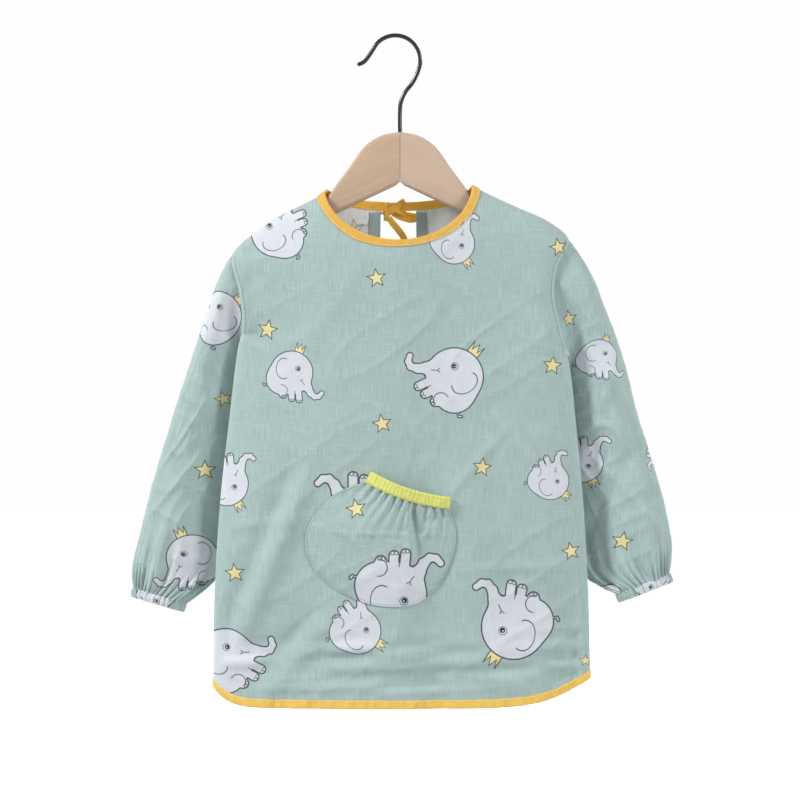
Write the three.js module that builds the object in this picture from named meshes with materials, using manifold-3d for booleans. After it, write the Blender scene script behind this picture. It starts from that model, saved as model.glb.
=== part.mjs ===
// A child's long-sleeved art smock, open and tied at the back, on a small two-piece wooden
// hanger with a swivelling wire hook. Millimetres, +Z up, the front of the smock faces -Y.
// The origin is the rail seat: the inside of the hook's crook, on the axis of its shank.
import * as THREE from "three";
import Module from "manifold-3d";
import { mergeVertices } from "three/addons/utils/BufferGeometryUtils.js";

const wasm = await Module();
wasm.setup();

// ---------------------------------------------------------------- driving dimensions
const GAP = 0.3; // air kept between pieces that touch

// hook
const WIRE = 3.8; // diameter of the hook's wire
const CROOK_RADIUS = 22.5; // to the wire's centre line
const CROOK_SHIFT = -4.2; // crook's centre, across from the shank
const SHANK_TOP = -60; // where the shank becomes straight
const HEAD_SIZE = { radius: 4.2, height: 2.6 }; // riveted head that holds the wire in the wood

// hanger
const WOOD = 10; // thickness of the arms
const WOOD_ROUND = 0.4 * WOOD; // rounding of their edges
const APEX_TOP = -84.5; // top of the wood at the mitre
const APEX_UNDER = -131; // underside of the wood at the mitre
const UNDER_SLOPE = 0.47; // how steeply the underside falls
const ARM_REACH = 129; // from the mitre to each arm's tip
const TIP_RUN = 7; // length over which each tip rounds off
const BORE_CLEARANCE = 0.35; // round the wire, in the wood
const HEAD_POCKET = 6; // depth of the recess that hides the riveted head

// cloth and bindings
const CLOTH = 1.2; // thickness of a body panel or sleeve, with its seam allowances
const BINDING_WALL = 0.7; // one layer of the folded binding
const BINDING_SLOT = 0.4; // air between the cloth and each binding layer
const BINDING_WIDTH = 8; // visible width of the neck and hem bindings
const BINDING_FOLD = 1; // how far the binding's fold stands past the cloth's edge

// body of the smock, by height: [z, distance from the hook's axis to the edge]
const EDGE = {
  left: [[-122, 48], [-136, 64], [-145, 77], [-161, 109], [-176, 131], [-195, 150], [-228, 144],
    [-256, 141], [-282, 146], [-344, 153.5], [-417, 161.5], [-500, 166.5], [-604, 168]],
  right: [[-120, 48], [-131, 62], [-139.5, 77], [-153, 106], [-164, 131], [-181, 151], [-205, 141],
    [-232, 138], [-262, 144], [-293, 152], [-346, 158], [-417, 164.5], [-500, 169], [-604, 171.5]],
};
const ARMHOLE = { left: { top: -195, bottom: -266 }, right: { top: -181, bottom: -286 } };
const ARMHOLE_OPEN = 9; // half the depth of each armhole
const ARMHOLE_SEAM = 2; // how far a sleeve's head stands outside the body's edge
const HEM_Z = -601; // lowest line of the hem
const HEM_RISE = { left: 18, right: 26 }; // how much higher the hem is at each side seam
const HEM_RISE_POWER = { left: 14, right: 5 };
const DEPTH = { front: WOOD / 2 + 17, back: WOOD / 2 + 16.5 }; // of the hanging body, from its middle plane
const DEPTH_TOP = -106; // height where the body's depth would vanish
const DEPTH_RUN = 115; // drop over which it opens to its full depth
const NECK = { x: -1.8, z: -132, half: 67.2 }; // centre and half-width of the neckline
const NECK_DROP = { front: 51, back: 16 }; // how far the neckline dips below that centre
const BACK_EDGE = { left: -17, right: 14 }; // x of the two free edges of the back
const BACK_SPREAD = 9; // how far each free edge has moved outwards at the hem
const FACING_WIDTH = 10; // turned-in strip along each free edge
const FACING = 0.8; // its thickness

// sleeves, front view: the two folds of each flattened sleeve from armhole to cuff
const SLEEVE = {
  left: {
    outer: [[-164, -219], [-184, -273], [-207, -343], [-222, -392], [-234, -443], [-241, -478], [-239.5, -496]],
    inner: [[-149.5, -277], [-149, -310], [-151, -365], [-155, -412], [-161, -455], [-170, -490], [-194, -509.5]],
  },
  right: {
    outer: [[171, -209], [197, -273], [216, -344], [230, -388], [241, -431], [245, -459], [242.5, -483]],
    inner: [[157.5, -297], [154.5, -325], [155, -370], [158, -415], [163, -455], [172, -489], [196, -501]],
  },
};
const SLEEVE_BEHIND = [3, 9, 12.5, 12.5, 12, 11, 9]; // how far behind the body's middle plane
const SLEEVE_DEPTH = [10.5, 12.5, 13, 13, 12.5, 12, 10]; // half-depth of the flattened sleeve
const SHOULDER_PIVOT_RISE = 3; // pivot of a sleeve, above the top of its armhole
const CUFF_BAND = 7; // height of the gathered casing
const CUFF_PROUD = 0.8; // how far the gathers stand out past the sleeve's end
const ELASTIC = { height: 5, thick: 1 };

// pocket
const POCKET_MIDDLE = [-18, -452];
const POCKET_OUTLINE = [[44, -423], [50, -450], [38, -486], [13, -508], [-28, -508], [-65, -489],
  [-84, -461], [-79, -432], [-57, -409], [-31, -399]];
const MOUTH_SAG = 4.5; // how far the mouth dips below the line between its ends
const POCKET_CLOTH = 1;
const POCKET_BULGE = 3; // fullness over the middle
const MOUTH_STANDS = 8; // how far the middle of the mouth stands off the front
const POCKET_BINDING = 10.5;

// tie at the back of the neck
const KNOT = { at: [-5.7, DEPTH.back + 1.5, -152], size: [10.8, 5.2, 7.4] };
const LOOP = { at: [6.5, DEPTH.back + 1.5, -163.4], half: [8.2, 3.6], band: 1.3, deep: 6 };
const TIE_REACH = { left: 4, right: 10.5 }; // how far the neck binding runs past each free edge, up to the knot
const TAPE = { width: 6, thick: 1.6 }; // folded binding that makes the two tails
const TAIL = { // [x, behind the back's greatest depth, z]
  right: [[-10, 0, -160.6], [-7, 0.3, -165], [-2, 0.8, -171], [3, 1.3, -178], [6, 1.5, -188],
    [7, 1.7, -202], [7, 1.7, -222], [6.5, 1.7, -246], [6, 1.5, -272], [6, 1.5, -300]],
  left: [[-16.8, 1, -154.5], [-22, 1.7, -157.5], [-26.5, 2.2, -164], [-29, 2.8, -174],
    [-30, 3.1, -190], [-30.5, 3.3, -215], [-31, 3.3, -245], [-31, 3.3, -285]],
};

// ---------------------------------------------------------------- materials
const paint = (color, roughness, metalness = 0) => new THREE.MeshStandardMaterial({ color, roughness, metalness });
const BLACK_WIRE = () => paint(0x17171a, 0.35, 0.6);
const BEECH = (tone) => paint(tone, 0.6);
const MINT_COTTON = () => paint(0xa6bfbb, 0.95);
const YELLOW_BINDING = () => paint(0xe8b040, 0.9);
const LIME_BINDING = () => paint(0xe1e15a, 0.9);
const WHITE_ELASTIC = () => paint(0xf1efe8, 0.9);

// ---------------------------------------------------------------- curves and solids
// A smooth function through [input, value] pairs, held level past both ends.
function through(pairs) {
  const rows = [...pairs].sort((a, b) => a[0] - b[0]);
  const last = rows.length - 1;
  const slope = (i) => {
    const before = rows[Math.max(i - 1, 0)];
    const after = rows[Math.min(i + 1, last)];
    return (after[1] - before[1]) / (after[0] - before[0]);
  };
  return (input) => {
    const x = Math.min(Math.max(input, rows[0][0]), rows[last][0]);
    let i = 0;
    while (i < last - 1 && x > rows[i + 1][0]) i += 1;
    const span = rows[i + 1][0] - rows[i][0];
    const t = (x - rows[i][0]) / span;
    const keep = 1 - t;
    return rows[i][1] * keep * keep * (1 + 2 * t) + rows[i + 1][1] * t * t * (3 - 2 * t)
      + span * (slope(i) * t * keep * keep - slope(i + 1) * t * t * keep);
  };
}

// Where a function that is positive at `outside` and negative at `inside` crosses zero.
function crossing(level, outside, inside) {
  let [out, within] = [outside, inside];
  for (let step = 0; step < 40; step += 1) {
    const middle = (out + within) / 2;
    if (level(middle) > 0) out = middle;
    else within = middle;
  }
  return (out + within) / 2;
}

// Triangles that join each loop of n points to the next, and the last to the first in a ring.
function bandFaces(count, n, ring = false) {
  const faces = [];
  for (let i = 0; i < (ring ? count : count - 1); i += 1) {
    for (let j = 0; j < n; j += 1) {
      const a = i * n + j;
      const b = i * n + ((j + 1) % n);
      const c = ((i + 1) % count) * n + j;
      const d = ((i + 1) % count) * n + ((j + 1) % n);
      faces.push(a, b, d, a, d, c);
    }
  }
  return faces;
}

// One closed body from loops of points, closed by a cap at each end or joined into a ring.
function loft(loops, ring = false) {
  const n = loops[0].length;
  const faces = bandFaces(loops.length, n, ring);
  if (!ring) {
    const last = (loops.length - 1) * n;
    for (const [a, b, c] of capTriangles(loops[0])) faces.push(a, c, b);
    for (const [a, b, c] of capTriangles(loops.at(-1))) faces.push(last + a, last + b, last + c);
  }
  return solid(loops.flat(), faces);
}

// Triangles of a loop that lies nearly flat, found in the plane that it lies in.
function capTriangles(loop) {
  const middle = loop.reduce((sum, p) => sum.add(p), new THREE.Vector3()).divideScalar(loop.length);
  const normal = new THREE.Vector3();
  loop.forEach((p, i) => {
    const next = loop[(i + 1) % loop.length];
    normal.add(p.clone().sub(middle).cross(next.clone().sub(middle)));
  });
  normal.normalize();
  const across = loop[0].clone().sub(middle).projectOnPlane(normal).normalize();
  const up = normal.clone().cross(across);
  const flat = loop.map((p) => {
    const arm = p.clone().sub(middle);
    return new THREE.Vector2(arm.dot(across), arm.dot(up));
  });
  return THREE.ShapeUtils.triangulateShape(flat, []);
}

// An indexed geometry with its faces turned outwards.
function solid(points, faces) {
  let volume = 0;
  for (let i = 0; i < faces.length; i += 3) {
    const [a, b, c] = [points[faces[i]], points[faces[i + 1]], points[faces[i + 2]]];
    volume += a.dot(b.clone().cross(c));
  }
  if (volume < 0) {
    for (let i = 0; i < faces.length; i += 3) [faces[i], faces[i + 1]] = [faces[i + 1], faces[i]];
  }
  const geometry = new THREE.BufferGeometry();
  geometry.setAttribute("position", new THREE.Float32BufferAttribute(points.flatMap((p) => p.toArray()), 3));
  geometry.setIndex(faces);
  return geometry;
}

// A sheet of even thickness: at(i, j) gives its middle surface, normal(i, j) the way it faces.
function sheet(columns, rows, thick, at, normal) {
  const loops = [];
  for (let i = 0; i <= columns; i += 1) {
    const near = [];
    const far = [];
    for (let j = 0; j <= rows; j += 1) {
      const offset = normal(i, j).multiplyScalar(thick / 2);
      near.push(at(i, j).add(offset));
      far.push(at(i, j).sub(offset));
    }
    loops.push([...near, ...far.reverse()]);
  }
  return stripCapped(loops, rows);
}

// Joins the section loops of a sheet, whose end sections are ladders of near and far points.
function stripCapped(loops, rows) {
  const n = loops[0].length;
  const faces = bandFaces(loops.length, n);
  for (const [first, flip] of [[0, true], [(loops.length - 1) * n, false]]) {
    for (let j = 0; j < rows; j += 1) {
      const [a, b, c, d] = [j, j + 1, n - 2 - j, n - 1 - j].map((k) => k + first);
      faces.push(...(flip ? [a, c, b, a, d, c] : [a, b, c, a, c, d]));
    }
  }
  return solid(loops.flat(), faces);
}

function toManifold(geometry) {
  const plain = geometry.clone();
  plain.deleteAttribute("normal");
  plain.deleteAttribute("uv");
  const merged = mergeVertices(plain, 1e-4);
  return new wasm.Manifold(new wasm.Mesh({
    numProp: 3,
    vertProperties: new Float32Array(merged.attributes.position.array),
    triVerts: new Uint32Array(merged.index.array),
  }));
}

function fromManifold(body) {
  const mesh = body.getMesh();
  const geometry = new THREE.BufferGeometry();
  geometry.setAttribute("position", new THREE.BufferAttribute(mesh.vertProperties, 3));
  geometry.setIndex(new THREE.BufferAttribute(mesh.triVerts, 1));
  return geometry;
}

// ---------------------------------------------------------------- surfaces of the smock
const SIGN = { left: -1, right: 1 };
const FACE = { front: -1, back: 1 };
const edgeAt = { left: through(EDGE.left), right: through(EDGE.right) };

function armholeDepth(side, z) {
  const { top, bottom } = ARMHOLE[side];
  const along = (z - (top + bottom) / 2) / ((top - bottom) / 2);
  return Math.abs(along) < 1 ? ARMHOLE_OPEN * Math.sqrt(1 - along * along) : 0;
}

// The body is a flattened tube. theta runs from -90 degrees at the left fold to 90 at the right.
function bodyPoint(face, theta, z) {
  const across = Math.sin(theta);
  const middle = (edgeAt.right(z) - edgeAt.left(z)) / 2;
  const half = (edgeAt.right(z) + edgeAt.left(z)) / 2;
  const open = Math.min((DEPTH_TOP - z) / DEPTH_RUN, 1);
  const depth = DEPTH[face] * Math.sqrt(Math.max(1 - (1 - open) ** 2, 0)) * Math.cos(theta)
    + armholeDepth(across < 0 ? "left" : "right", z) * across ** 8;
  return new THREE.Vector3(middle + half * across, FACE[face] * (GAP / 2 + depth), z);
}

function thetaOfX(x, z) {
  const middle = (edgeAt.right(z) - edgeAt.left(z)) / 2;
  const half = (edgeAt.right(z) + edgeAt.left(z)) / 2;
  return Math.asin(Math.min(Math.max((x - middle) / half, -1), 1));
}

function bodyNormal(face, theta, z) {
  const step = 0.002;
  const across = bodyPoint(face, theta + step, z).sub(bodyPoint(face, theta - step, z));
  const along = bodyPoint(face, theta, z + 0.5).sub(bodyPoint(face, theta, z - 0.5));
  return across.cross(along).multiplyScalar(-FACE[face]).normalize();
}

// A panel spans q from 0 to 1 across, between two edges given as theta by height.
function panel(face, fromTheta, toTheta) {
  const theta = (q, z) => fromTheta(z) + q * (toTheta(z) - fromTheta(z));
  const at = (q, z) => bodyPoint(face, theta(q, z), z);
  const normal = (q, z) => bodyNormal(face, theta(q, z), z);
  const outsideNeck = (q) => (z) => {
    const { x } = at(q, z);
    return ((x - NECK.x) / NECK.half) ** 2 + ((z - NECK.z) / NECK_DROP[face]) ** 2 - 1;
  };
  const top = (q) => crossing(outsideNeck(q), NECK.z - NECK_DROP[face] - 20, NECK.z);
  const hem = (q) => {
    const across = Math.sin(theta(q, HEM_Z));
    const side = across < 0 ? "left" : "right";
    return HEM_Z + HEM_RISE[side] * Math.abs(across) ** HEM_RISE_POWER[side];
  };
  return { at, normal, top, hem };
}

const quarter = Math.PI / 2;
const backEdgeTheta = (side, inset = 0) => (z) => {
  const spread = BACK_SPREAD * Math.min(Math.max((z - NECK.z) / (HEM_Z - NECK.z), 0), 1);
  return thetaOfX(BACK_EDGE[side] + SIGN[side] * (spread + inset), z);
};
const PANELS = {
  front: panel("front", () => -quarter, () => quarter),
  left: panel("back", () => -quarter, backEdgeTheta("left")),
  right: panel("back", backEdgeTheta("right"), () => quarter),
};

const ROW_CROWDING = 1.5; // rows are closer together near the shoulders

function panelCloth(shape, columns, rows) {
  const height = (i, j) => {
    const q = i / columns;
    const drop = (j / rows) ** ROW_CROWDING;
    return shape.top(q) + (shape.hem(q) - shape.top(q)) * drop;
  };
  return sheet(columns, rows, CLOTH,
    (i, j) => shape.at(i / columns, height(i, j)),
    (i, j) => shape.normal(i / columns, height(i, j)));
}

// The point that lies `inward` millimetres from an edge, along the panel.
function inFromEdge(shape, q, edge, inward) {
  const way = edge === "top" ? -1 : 1;
  const start = edge === "top" ? shape.top(q) : shape.hem(q);
  const speed = shape.at(q, start + 1).distanceTo(shape.at(q, start - 1)) / 2;
  const z = start + (way * inward) / speed;
  return { point: shape.at(q, z), normal: shape.normal(q, z) };
}

// A binding folded over a panel's edge: a U that the cloth sits in.
function edgeBinding(shape, edge, stations) {
  const inside = CLOTH / 2 + BINDING_SLOT;
  const outside = inside + BINDING_WALL;
  const covered = BINDING_WIDTH - BINDING_FOLD;
  const section = [
    [-BINDING_FOLD, outside], [covered / 2, outside], [covered, outside], [covered, inside],
    [covered / 2, inside], [-BINDING_SLOT, inside], [-BINDING_SLOT, -inside], [covered / 2, -inside],
    [covered, -inside], [covered, -outside], [covered / 2, -outside], [-BINDING_FOLD, -outside],
  ];
  const loops = stations.map((q) => section.map(([inward, proud]) => {
    const { point, normal } = inFromEdge(shape, q, edge, inward);
    return point.addScaledVector(normal, proud);
  }));
  return loft(loops);
}

const evenly = (count, from = 0, to = 1) =>
  Array.from({ length: count + 1 }, (_, i) => from + ((to - from) * i) / count);

// stations along a back panel's neck edge, and one more past its free edge, where the knot begins
function tieStations(side) {
  const free = side === "left" ? 1 : 0;
  const z = PANELS[side].top(free);
  const edge = backEdgeTheta(side)(z);
  const knot = thetaOfX(BACK_EDGE[side] - SIGN[side] * TIE_REACH[side], z);
  const reach = (knot - edge) / (quarter - SIGN[side] * edge);
  return side === "left" ? [...evenly(8), free + reach] : [free + reach, ...evenly(8)];
}

function facing(side) {
  const shape = panel("back", backEdgeTheta(side), backEdgeTheta(side, FACING_WIDTH));
  const below = shape.top(0) - BINDING_WIDTH - 1;
  const above = HEM_Z + BINDING_WIDTH + 1;
  const under = CLOTH / 2 + GAP + FACING / 2;
  const rows = 10;
  const height = (j) => below + ((above - below) * j) / rows;
  return sheet(1, rows, FACING,
    (i, j) => shape.at(i, height(j)).addScaledVector(shape.normal(i, height(j)), -under),
    (i, j) => shape.normal(i, height(j)));
}

// ---------------------------------------------------------------- sleeves
function foldCurve(points) {
  return new THREE.CatmullRomCurve3(points.map(([x, z], i) => new THREE.Vector3(x, SLEEVE_BEHIND[i], z)));
}

const spacing = (values) => through(values.map((value, i) => [i / (values.length - 1), value]));

function sleeveShape(side) {
  const outer = foldCurve(SLEEVE[side].outer);
  const inner = foldCurve(SLEEVE[side].inner);
  const depth = spacing(SLEEVE_DEPTH);
  const { top, bottom } = ARMHOLE[side];
  // The first section follows the armhole's edge, just outside the body.
  const atArmhole = (phi, inset) => {
    const z = (top + bottom) / 2 + ((top - bottom) / 2 - inset) * Math.cos(phi);
    const x = SIGN[side] * (edgeAt[side](z) + CLOTH / 2 + ARMHOLE_SEAM);
    return new THREE.Vector3(x, -(ARMHOLE_OPEN + GAP / 2 - inset) * Math.sin(phi), z);
  };
  const at = (t, phi, inset) => {
    const from = inner.getPoint(t);
    const to = outer.getPoint(t);
    const middle = from.clone().add(to).multiplyScalar(0.5);
    const half = to.sub(from).multiplyScalar(0.5);
    const length = half.length();
    middle.addScaledVector(half, ((length - inset) / length) * Math.cos(phi));
    middle.y -= (depth(t) - inset) * Math.sin(phi);
    return middle;
  };
  return { atArmhole, at };
}

// A tube with a wall: outer sections run down, inner sections run back up.
function walledTube(sections, sides, wall) {
  const loop = (section, inset) => evenly(sides - 1, 0, 2 * Math.PI * (1 - 1 / sides)).map((phi) => section(phi, inset));
  const down = sections.map((section) => loop(section, 0));
  const up = [...sections].reverse().map((section) => loop(section, wall));
  return loft([...down, ...up], true);
}

const SLEEVE_SIDES = 14;
const SLEEVE_SECTIONS = 10;

function sleeveCloth(side) {
  const { atArmhole, at } = sleeveShape(side);
  const sections = evenly(SLEEVE_SECTIONS).map((t) => (phi, inset) => at(t, phi, inset));
  return walledTube([atArmhole, ...sections], SLEEVE_SIDES, CLOTH);
}

// Sections past the sleeve's end, `drop` down the arm and `proud` outside its cloth.
function pastSleeveEnd(side, drop, proud) {
  const { at } = sleeveShape(side);
  const outer = at(1, 0, 0);
  const inner = at(1, Math.PI, 0);
  const across = outer.clone().sub(inner).normalize();
  const down = new THREE.Vector3(across.z, 0, -across.x).multiplyScalar(SIGN[side] * drop);
  return (phi, inset) => at(1, phi, inset - proud).add(down);
}

function cuff(side) {
  const heights = [GAP, CUFF_BAND / 2, CUFF_BAND];
  return walledTube(heights.map((drop) => pastSleeveEnd(side, drop, CUFF_PROUD)), SLEEVE_SIDES, CLOTH);
}

function cuffElastic(side) {
  const start = (CUFF_BAND - ELASTIC.height) / 2;
  const inside = CUFF_PROUD - CLOTH - GAP;
  const heights = [start, start + ELASTIC.height];
  return walledTube(heights.map((drop) => pastSleeveEnd(side, drop, inside)), SLEEVE_SIDES, ELASTIC.thick);
}

// ---------------------------------------------------------------- pocket
const mouthRight = POCKET_OUTLINE[0];
const mouthLeft = POCKET_OUTLINE[POCKET_OUTLINE.length - 1];
const pocketSide = new THREE.SplineCurve(POCKET_OUTLINE.map(([x, z]) => new THREE.Vector2(x, z)));
const mouthCurve = new THREE.QuadraticBezierCurve(
  new THREE.Vector2(...mouthLeft),
  new THREE.Vector2((mouthLeft[0] + mouthRight[0]) / 2, (mouthLeft[1] + mouthRight[1]) / 2 - 2 * MOUTH_SAG),
  new THREE.Vector2(...mouthRight),
);
const mouthLift = (t) => MOUTH_STANDS * Math.sin(Math.PI * t) ** 0.7;

// A point off the front panel's outer face, at x and z.
function offFront(x, z, proud) {
  const theta = thetaOfX(x, z);
  return bodyPoint("front", theta, z).addScaledVector(bodyNormal("front", theta, z), CLOTH / 2 + GAP + proud);
}

function pocketCloth() {
  const sideSteps = 22;
  const rings = 4;
  const rim = [
    ...evenly(MOUTH_STEPS).map((t) => ({ p: mouthCurve.getPoint(t), lift: mouthLift(t) })),
    ...evenly(sideSteps).slice(1, -1).map((t) => ({ p: pocketSide.getPoint(t), lift: 0 })),
  ];
  const layer = (proud) => {
    const full = POCKET_BULGE + MOUTH_STANDS * 0.45;
    const middle = offFront(...POCKET_MIDDLE, proud + full);
    const loops = evenly(rings - 1, 1 / rings, 1).map((out) => rim.map(({ p, lift }) => {
      const x = POCKET_MIDDLE[0] + (p.x - POCKET_MIDDLE[0]) * out;
      const z = POCKET_MIDDLE[1] + (p.y - POCKET_MIDDLE[1]) * out;
      return offFront(x, z, proud + full * (1 - out * out) + lift * out * out);
    }));
    return { middle, loops };
  };
  const inner = layer(0);
  const outer = layer(POCKET_CLOTH);
  const n = rim.length;
  const shells = [...inner.loops, ...[...outer.loops].reverse()];
  const points = [...shells.flat(), inner.middle, outer.middle];
  const faces = bandFaces(shells.length, n);
  const last = (shells.length - 1) * n;
  for (let j = 0; j < n; j += 1) {
    const next = (j + 1) % n;
    faces.push(j, points.length - 2, next, last + j, last + next, points.length - 1);
  }
  return solid(points, faces);
}

const MOUTH_STEPS = 10;

// A strip that runs along the mouth: section points are [up from the mouth, off the front].
function alongMouth(section) {
  const loops = evenly(MOUTH_STEPS).map((t) => {
    const p = mouthCurve.getPoint(t);
    const tangent = mouthCurve.getTangent(t);
    return section.map(([up, proud]) => offFront(p.x - tangent.y * up, p.y + tangent.x * up, mouthLift(t) + proud));
  });
  return loft(loops);
}

const pocketBindingThick = 2 * BINDING_WALL + ELASTIC.thick + 2 * GAP;

function pocketBinding() {
  const [far, near] = [pocketBindingThick, 0];
  const top = POCKET_BINDING + GAP;
  return alongMouth([
    [GAP, near], [GAP, near + BINDING_WALL], [top - BINDING_WALL, near + BINDING_WALL],
    [top - BINDING_WALL, far - BINDING_WALL], [GAP, far - BINDING_WALL], [GAP, far], [top, far], [top, near],
  ]);
}

function pocketElastic() {
  const near = BINDING_WALL + GAP;
  const low = 2.5;
  return alongMouth([
    [low, near], [low, near + ELASTIC.thick], [low + ELASTIC.height, near + ELASTIC.thick],
    [low + ELASTIC.height, near],
  ]);
}

// ---------------------------------------------------------------- hanger and hook
// Height of the arm's top edge by distance from the mitre.
const armTop = through([[0, APEX_TOP], [18, -88.5], [33, -99], [47, -118.5], [57, -131.8], [66, -144],
  [80, -154.5], [108, -169], [ARM_REACH, -182]]);

// A section across the arm: a rectangle with rounded corners, which closes in at the tip.
function armSection(side, x) {
  const under = APEX_UNDER - UNDER_SLOPE * x;
  const top = armTop(x);
  const tip = Math.max(x - (ARM_REACH - TIP_RUN), 0) / TIP_RUN;
  const keep = Math.sqrt(1 - 0.8 * tip * tip);
  const [middle, tall, wide] = [(top + under) / 2, ((top - under) / 2) * keep, (WOOD / 2) * keep];
  const corner = Math.min(WOOD_ROUND, tall * 0.8);
  const cut = corner * (1 - Math.SQRT1_2);
  const quadrant = [[wide, tall - corner], [wide - cut, tall - cut], [wide - corner, tall]];
  const loop = [...quadrant, ...quadrant.map(([y, z]) => [-y, z]).reverse(),
    ...quadrant.map(([y, z]) => [-y, -z]), ...quadrant.map(([y, z]) => [y, -z]).reverse()];
  return loop.map(([y, z]) => new THREE.Vector3(SIGN[side] * x, y, middle + z));
}

const BORE_SIDES = 24;

function hangerArm(side) {
  const places = [...evenly(14, GAP / 2, ARM_REACH - TIP_RUN), ARM_REACH - TIP_RUN / 2, ARM_REACH - 1, ARM_REACH];
  const blank = loft(places.map((x) => armSection(side, x)));
  const upright = (radius, height, bottom) => {
    const drill = new THREE.CylinderGeometry(radius, radius, height, BORE_SIDES).rotateX(Math.PI / 2);
    return drill.translate(0, 0, bottom + height / 2);
  };
  const bore = upright(WIRE / 2 + BORE_CLEARANCE, 100, APEX_UNDER - 20);
  const recess = upright(HEAD_SIZE.radius + GAP, 20 + HEAD_POCKET, APEX_UNDER - 20);
  return fromManifold(toManifold(blank).subtract(toManifold(bore)).subtract(toManifold(recess)));
}

function hookPath() {
  const seat = Math.sqrt((CROOK_RADIUS - WIRE / 2) ** 2 - CROOK_SHIFT ** 2);
  const onCrook = (degrees) => {
    const angle = (degrees * Math.PI) / 180;
    return [CROOK_SHIFT + CROOK_RADIUS * Math.cos(angle), -seat + CROOK_RADIUS * Math.sin(angle)];
  };
  const foot = APEX_UNDER + HEAD_POCKET;
  const route = [
    [-38.5, -24.3], [-32.5, -21.5], ...[158, 135, 112, 90, 68, 45, 22, 0, -20].map(onCrook),
    [11.5, -40], [4.6, -49], [0.8, SHANK_TOP + 2], [0, SHANK_TOP - 6], [0, APEX_TOP], [0, foot],
  ];
  return new THREE.CatmullRomCurve3(route.map(([x, z]) => new THREE.Vector3(x, 0, z)), false, "centripetal");
}

function hookWire() {
  const section = new THREE.Shape().absarc(0, 0, WIRE / 2, 0, 2 * Math.PI);
  return new THREE.ExtrudeGeometry(section, { steps: 46, bevelEnabled: false, extrudePath: hookPath(), curveSegments: 4 });
}

function hookHead() {
  const { radius, height } = HEAD_SIZE;
  const profile = [[0, 0], [radius, 0], [radius, -height / 2], [radius * 0.6, -height], [0, -height]];
  const head = new THREE.LatheGeometry(profile.reverse().map(([r, z]) => new THREE.Vector2(r, z)), BORE_SIDES);
  head.rotateX(Math.PI / 2);
  return head;
}

// ---------------------------------------------------------------- tie
function knot() {
  const lump = new THREE.SphereGeometry(1, 12, 8);
  lump.scale(...KNOT.size);
  return lump;
}

function loopBand() {
  const [a, b] = LOOP.half;
  const ring = new THREE.Shape().absellipse(0, 0, a, b, 0, 2 * Math.PI);
  ring.holes.push(new THREE.Path().absellipse(0, 0, a - LOOP.band, b - LOOP.band, 0, 2 * Math.PI));
  const band = new THREE.ExtrudeGeometry(ring, { depth: LOOP.deep, bevelEnabled: false, curveSegments: 10 });
  band.translate(0, 0, -LOOP.deep / 2);
  return band.rotateX(Math.PI / 2);
}

function tail(side) {
  const points = TAIL[side].map(([x, behind, z]) => new THREE.Vector3(x, DEPTH.back + behind, z));
  const route = new THREE.CatmullRomCurve3(points, false, "centripetal");
  const section = evenly(7, 0, 2 * Math.PI * (7 / 8)).map((angle) => [Math.cos(angle) * TAPE.width / 2,
    Math.sin(angle) * TAPE.thick / 2]);
  const steps = 26;
  const loops = evenly(steps).map((t) => {
    const p = route.getPoint(t);
    const down = route.getTangent(t);
    const across = new THREE.Vector3(0, 1, 0).cross(down).normalize();
    const out = down.clone().cross(across);
    return section.map(([wide, thick]) => p.clone().addScaledVector(across, wide).addScaledVector(out, thick));
  });
  return loft(loops);
}

// ---------------------------------------------------------------- assembly
function piece(name, geometry, material, at = new THREE.Vector3()) {
  const mesh = new THREE.Mesh(geometry, material);
  mesh.name = name;
  mesh.position.copy(at);
  return mesh;
}

function hookGroup() {
  const group = new THREE.Group();
  const headAt = new THREE.Vector3(0, 0, APEX_UNDER + HEAD_POCKET - GAP);
  group.add(piece("hook_wire", hookWire(), BLACK_WIRE()));
  group.add(piece("hook_rivet_head", hookHead(), BLACK_WIRE(), headAt));
  return group;
}

function bodyGroup() {
  const group = new THREE.Group();
  group.add(piece("hanger_arm_left", hangerArm("left"), BEECH(0xcdb197)));
  group.add(piece("hanger_arm_right", hangerArm("right"), BEECH(0xd8bda5)));
  group.add(piece("front_panel", panelCloth(PANELS.front, 20, 18), MINT_COTTON()));
  group.add(piece("neck_binding_front", edgeBinding(PANELS.front, "top", evenly(20)), YELLOW_BINDING()));
  group.add(piece("hem_binding_front", edgeBinding(PANELS.front, "hem", evenly(20)), YELLOW_BINDING()));
  for (const side of ["left", "right"]) {
    group.add(piece(`back_panel_${side}`, panelCloth(PANELS[side], 8, 16), MINT_COTTON()));
    group.add(piece(`back_facing_${side}`, facing(side), MINT_COTTON()));
    const neckTape = edgeBinding(PANELS[side], "top", tieStations(side));
    group.add(piece(`neck_binding_back_${side}`, neckTape, YELLOW_BINDING()));
    group.add(piece(`hem_binding_back_${side}`, edgeBinding(PANELS[side], "hem", evenly(8)), YELLOW_BINDING()));
    group.add(piece(`tie_tail_${side}`, tail(side), YELLOW_BINDING()));
  }
  group.add(piece("tie_knot", knot(), YELLOW_BINDING(), new THREE.Vector3(...KNOT.at)));
  group.add(piece("tie_loop", loopBand(), YELLOW_BINDING(), new THREE.Vector3(...LOOP.at)));
  group.add(piece("pocket", pocketCloth(), MINT_COTTON()));
  group.add(piece("pocket_binding", pocketBinding(), LIME_BINDING()));
  group.add(piece("pocket_elastic", pocketElastic(), WHITE_ELASTIC()));
  return group;
}

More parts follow.
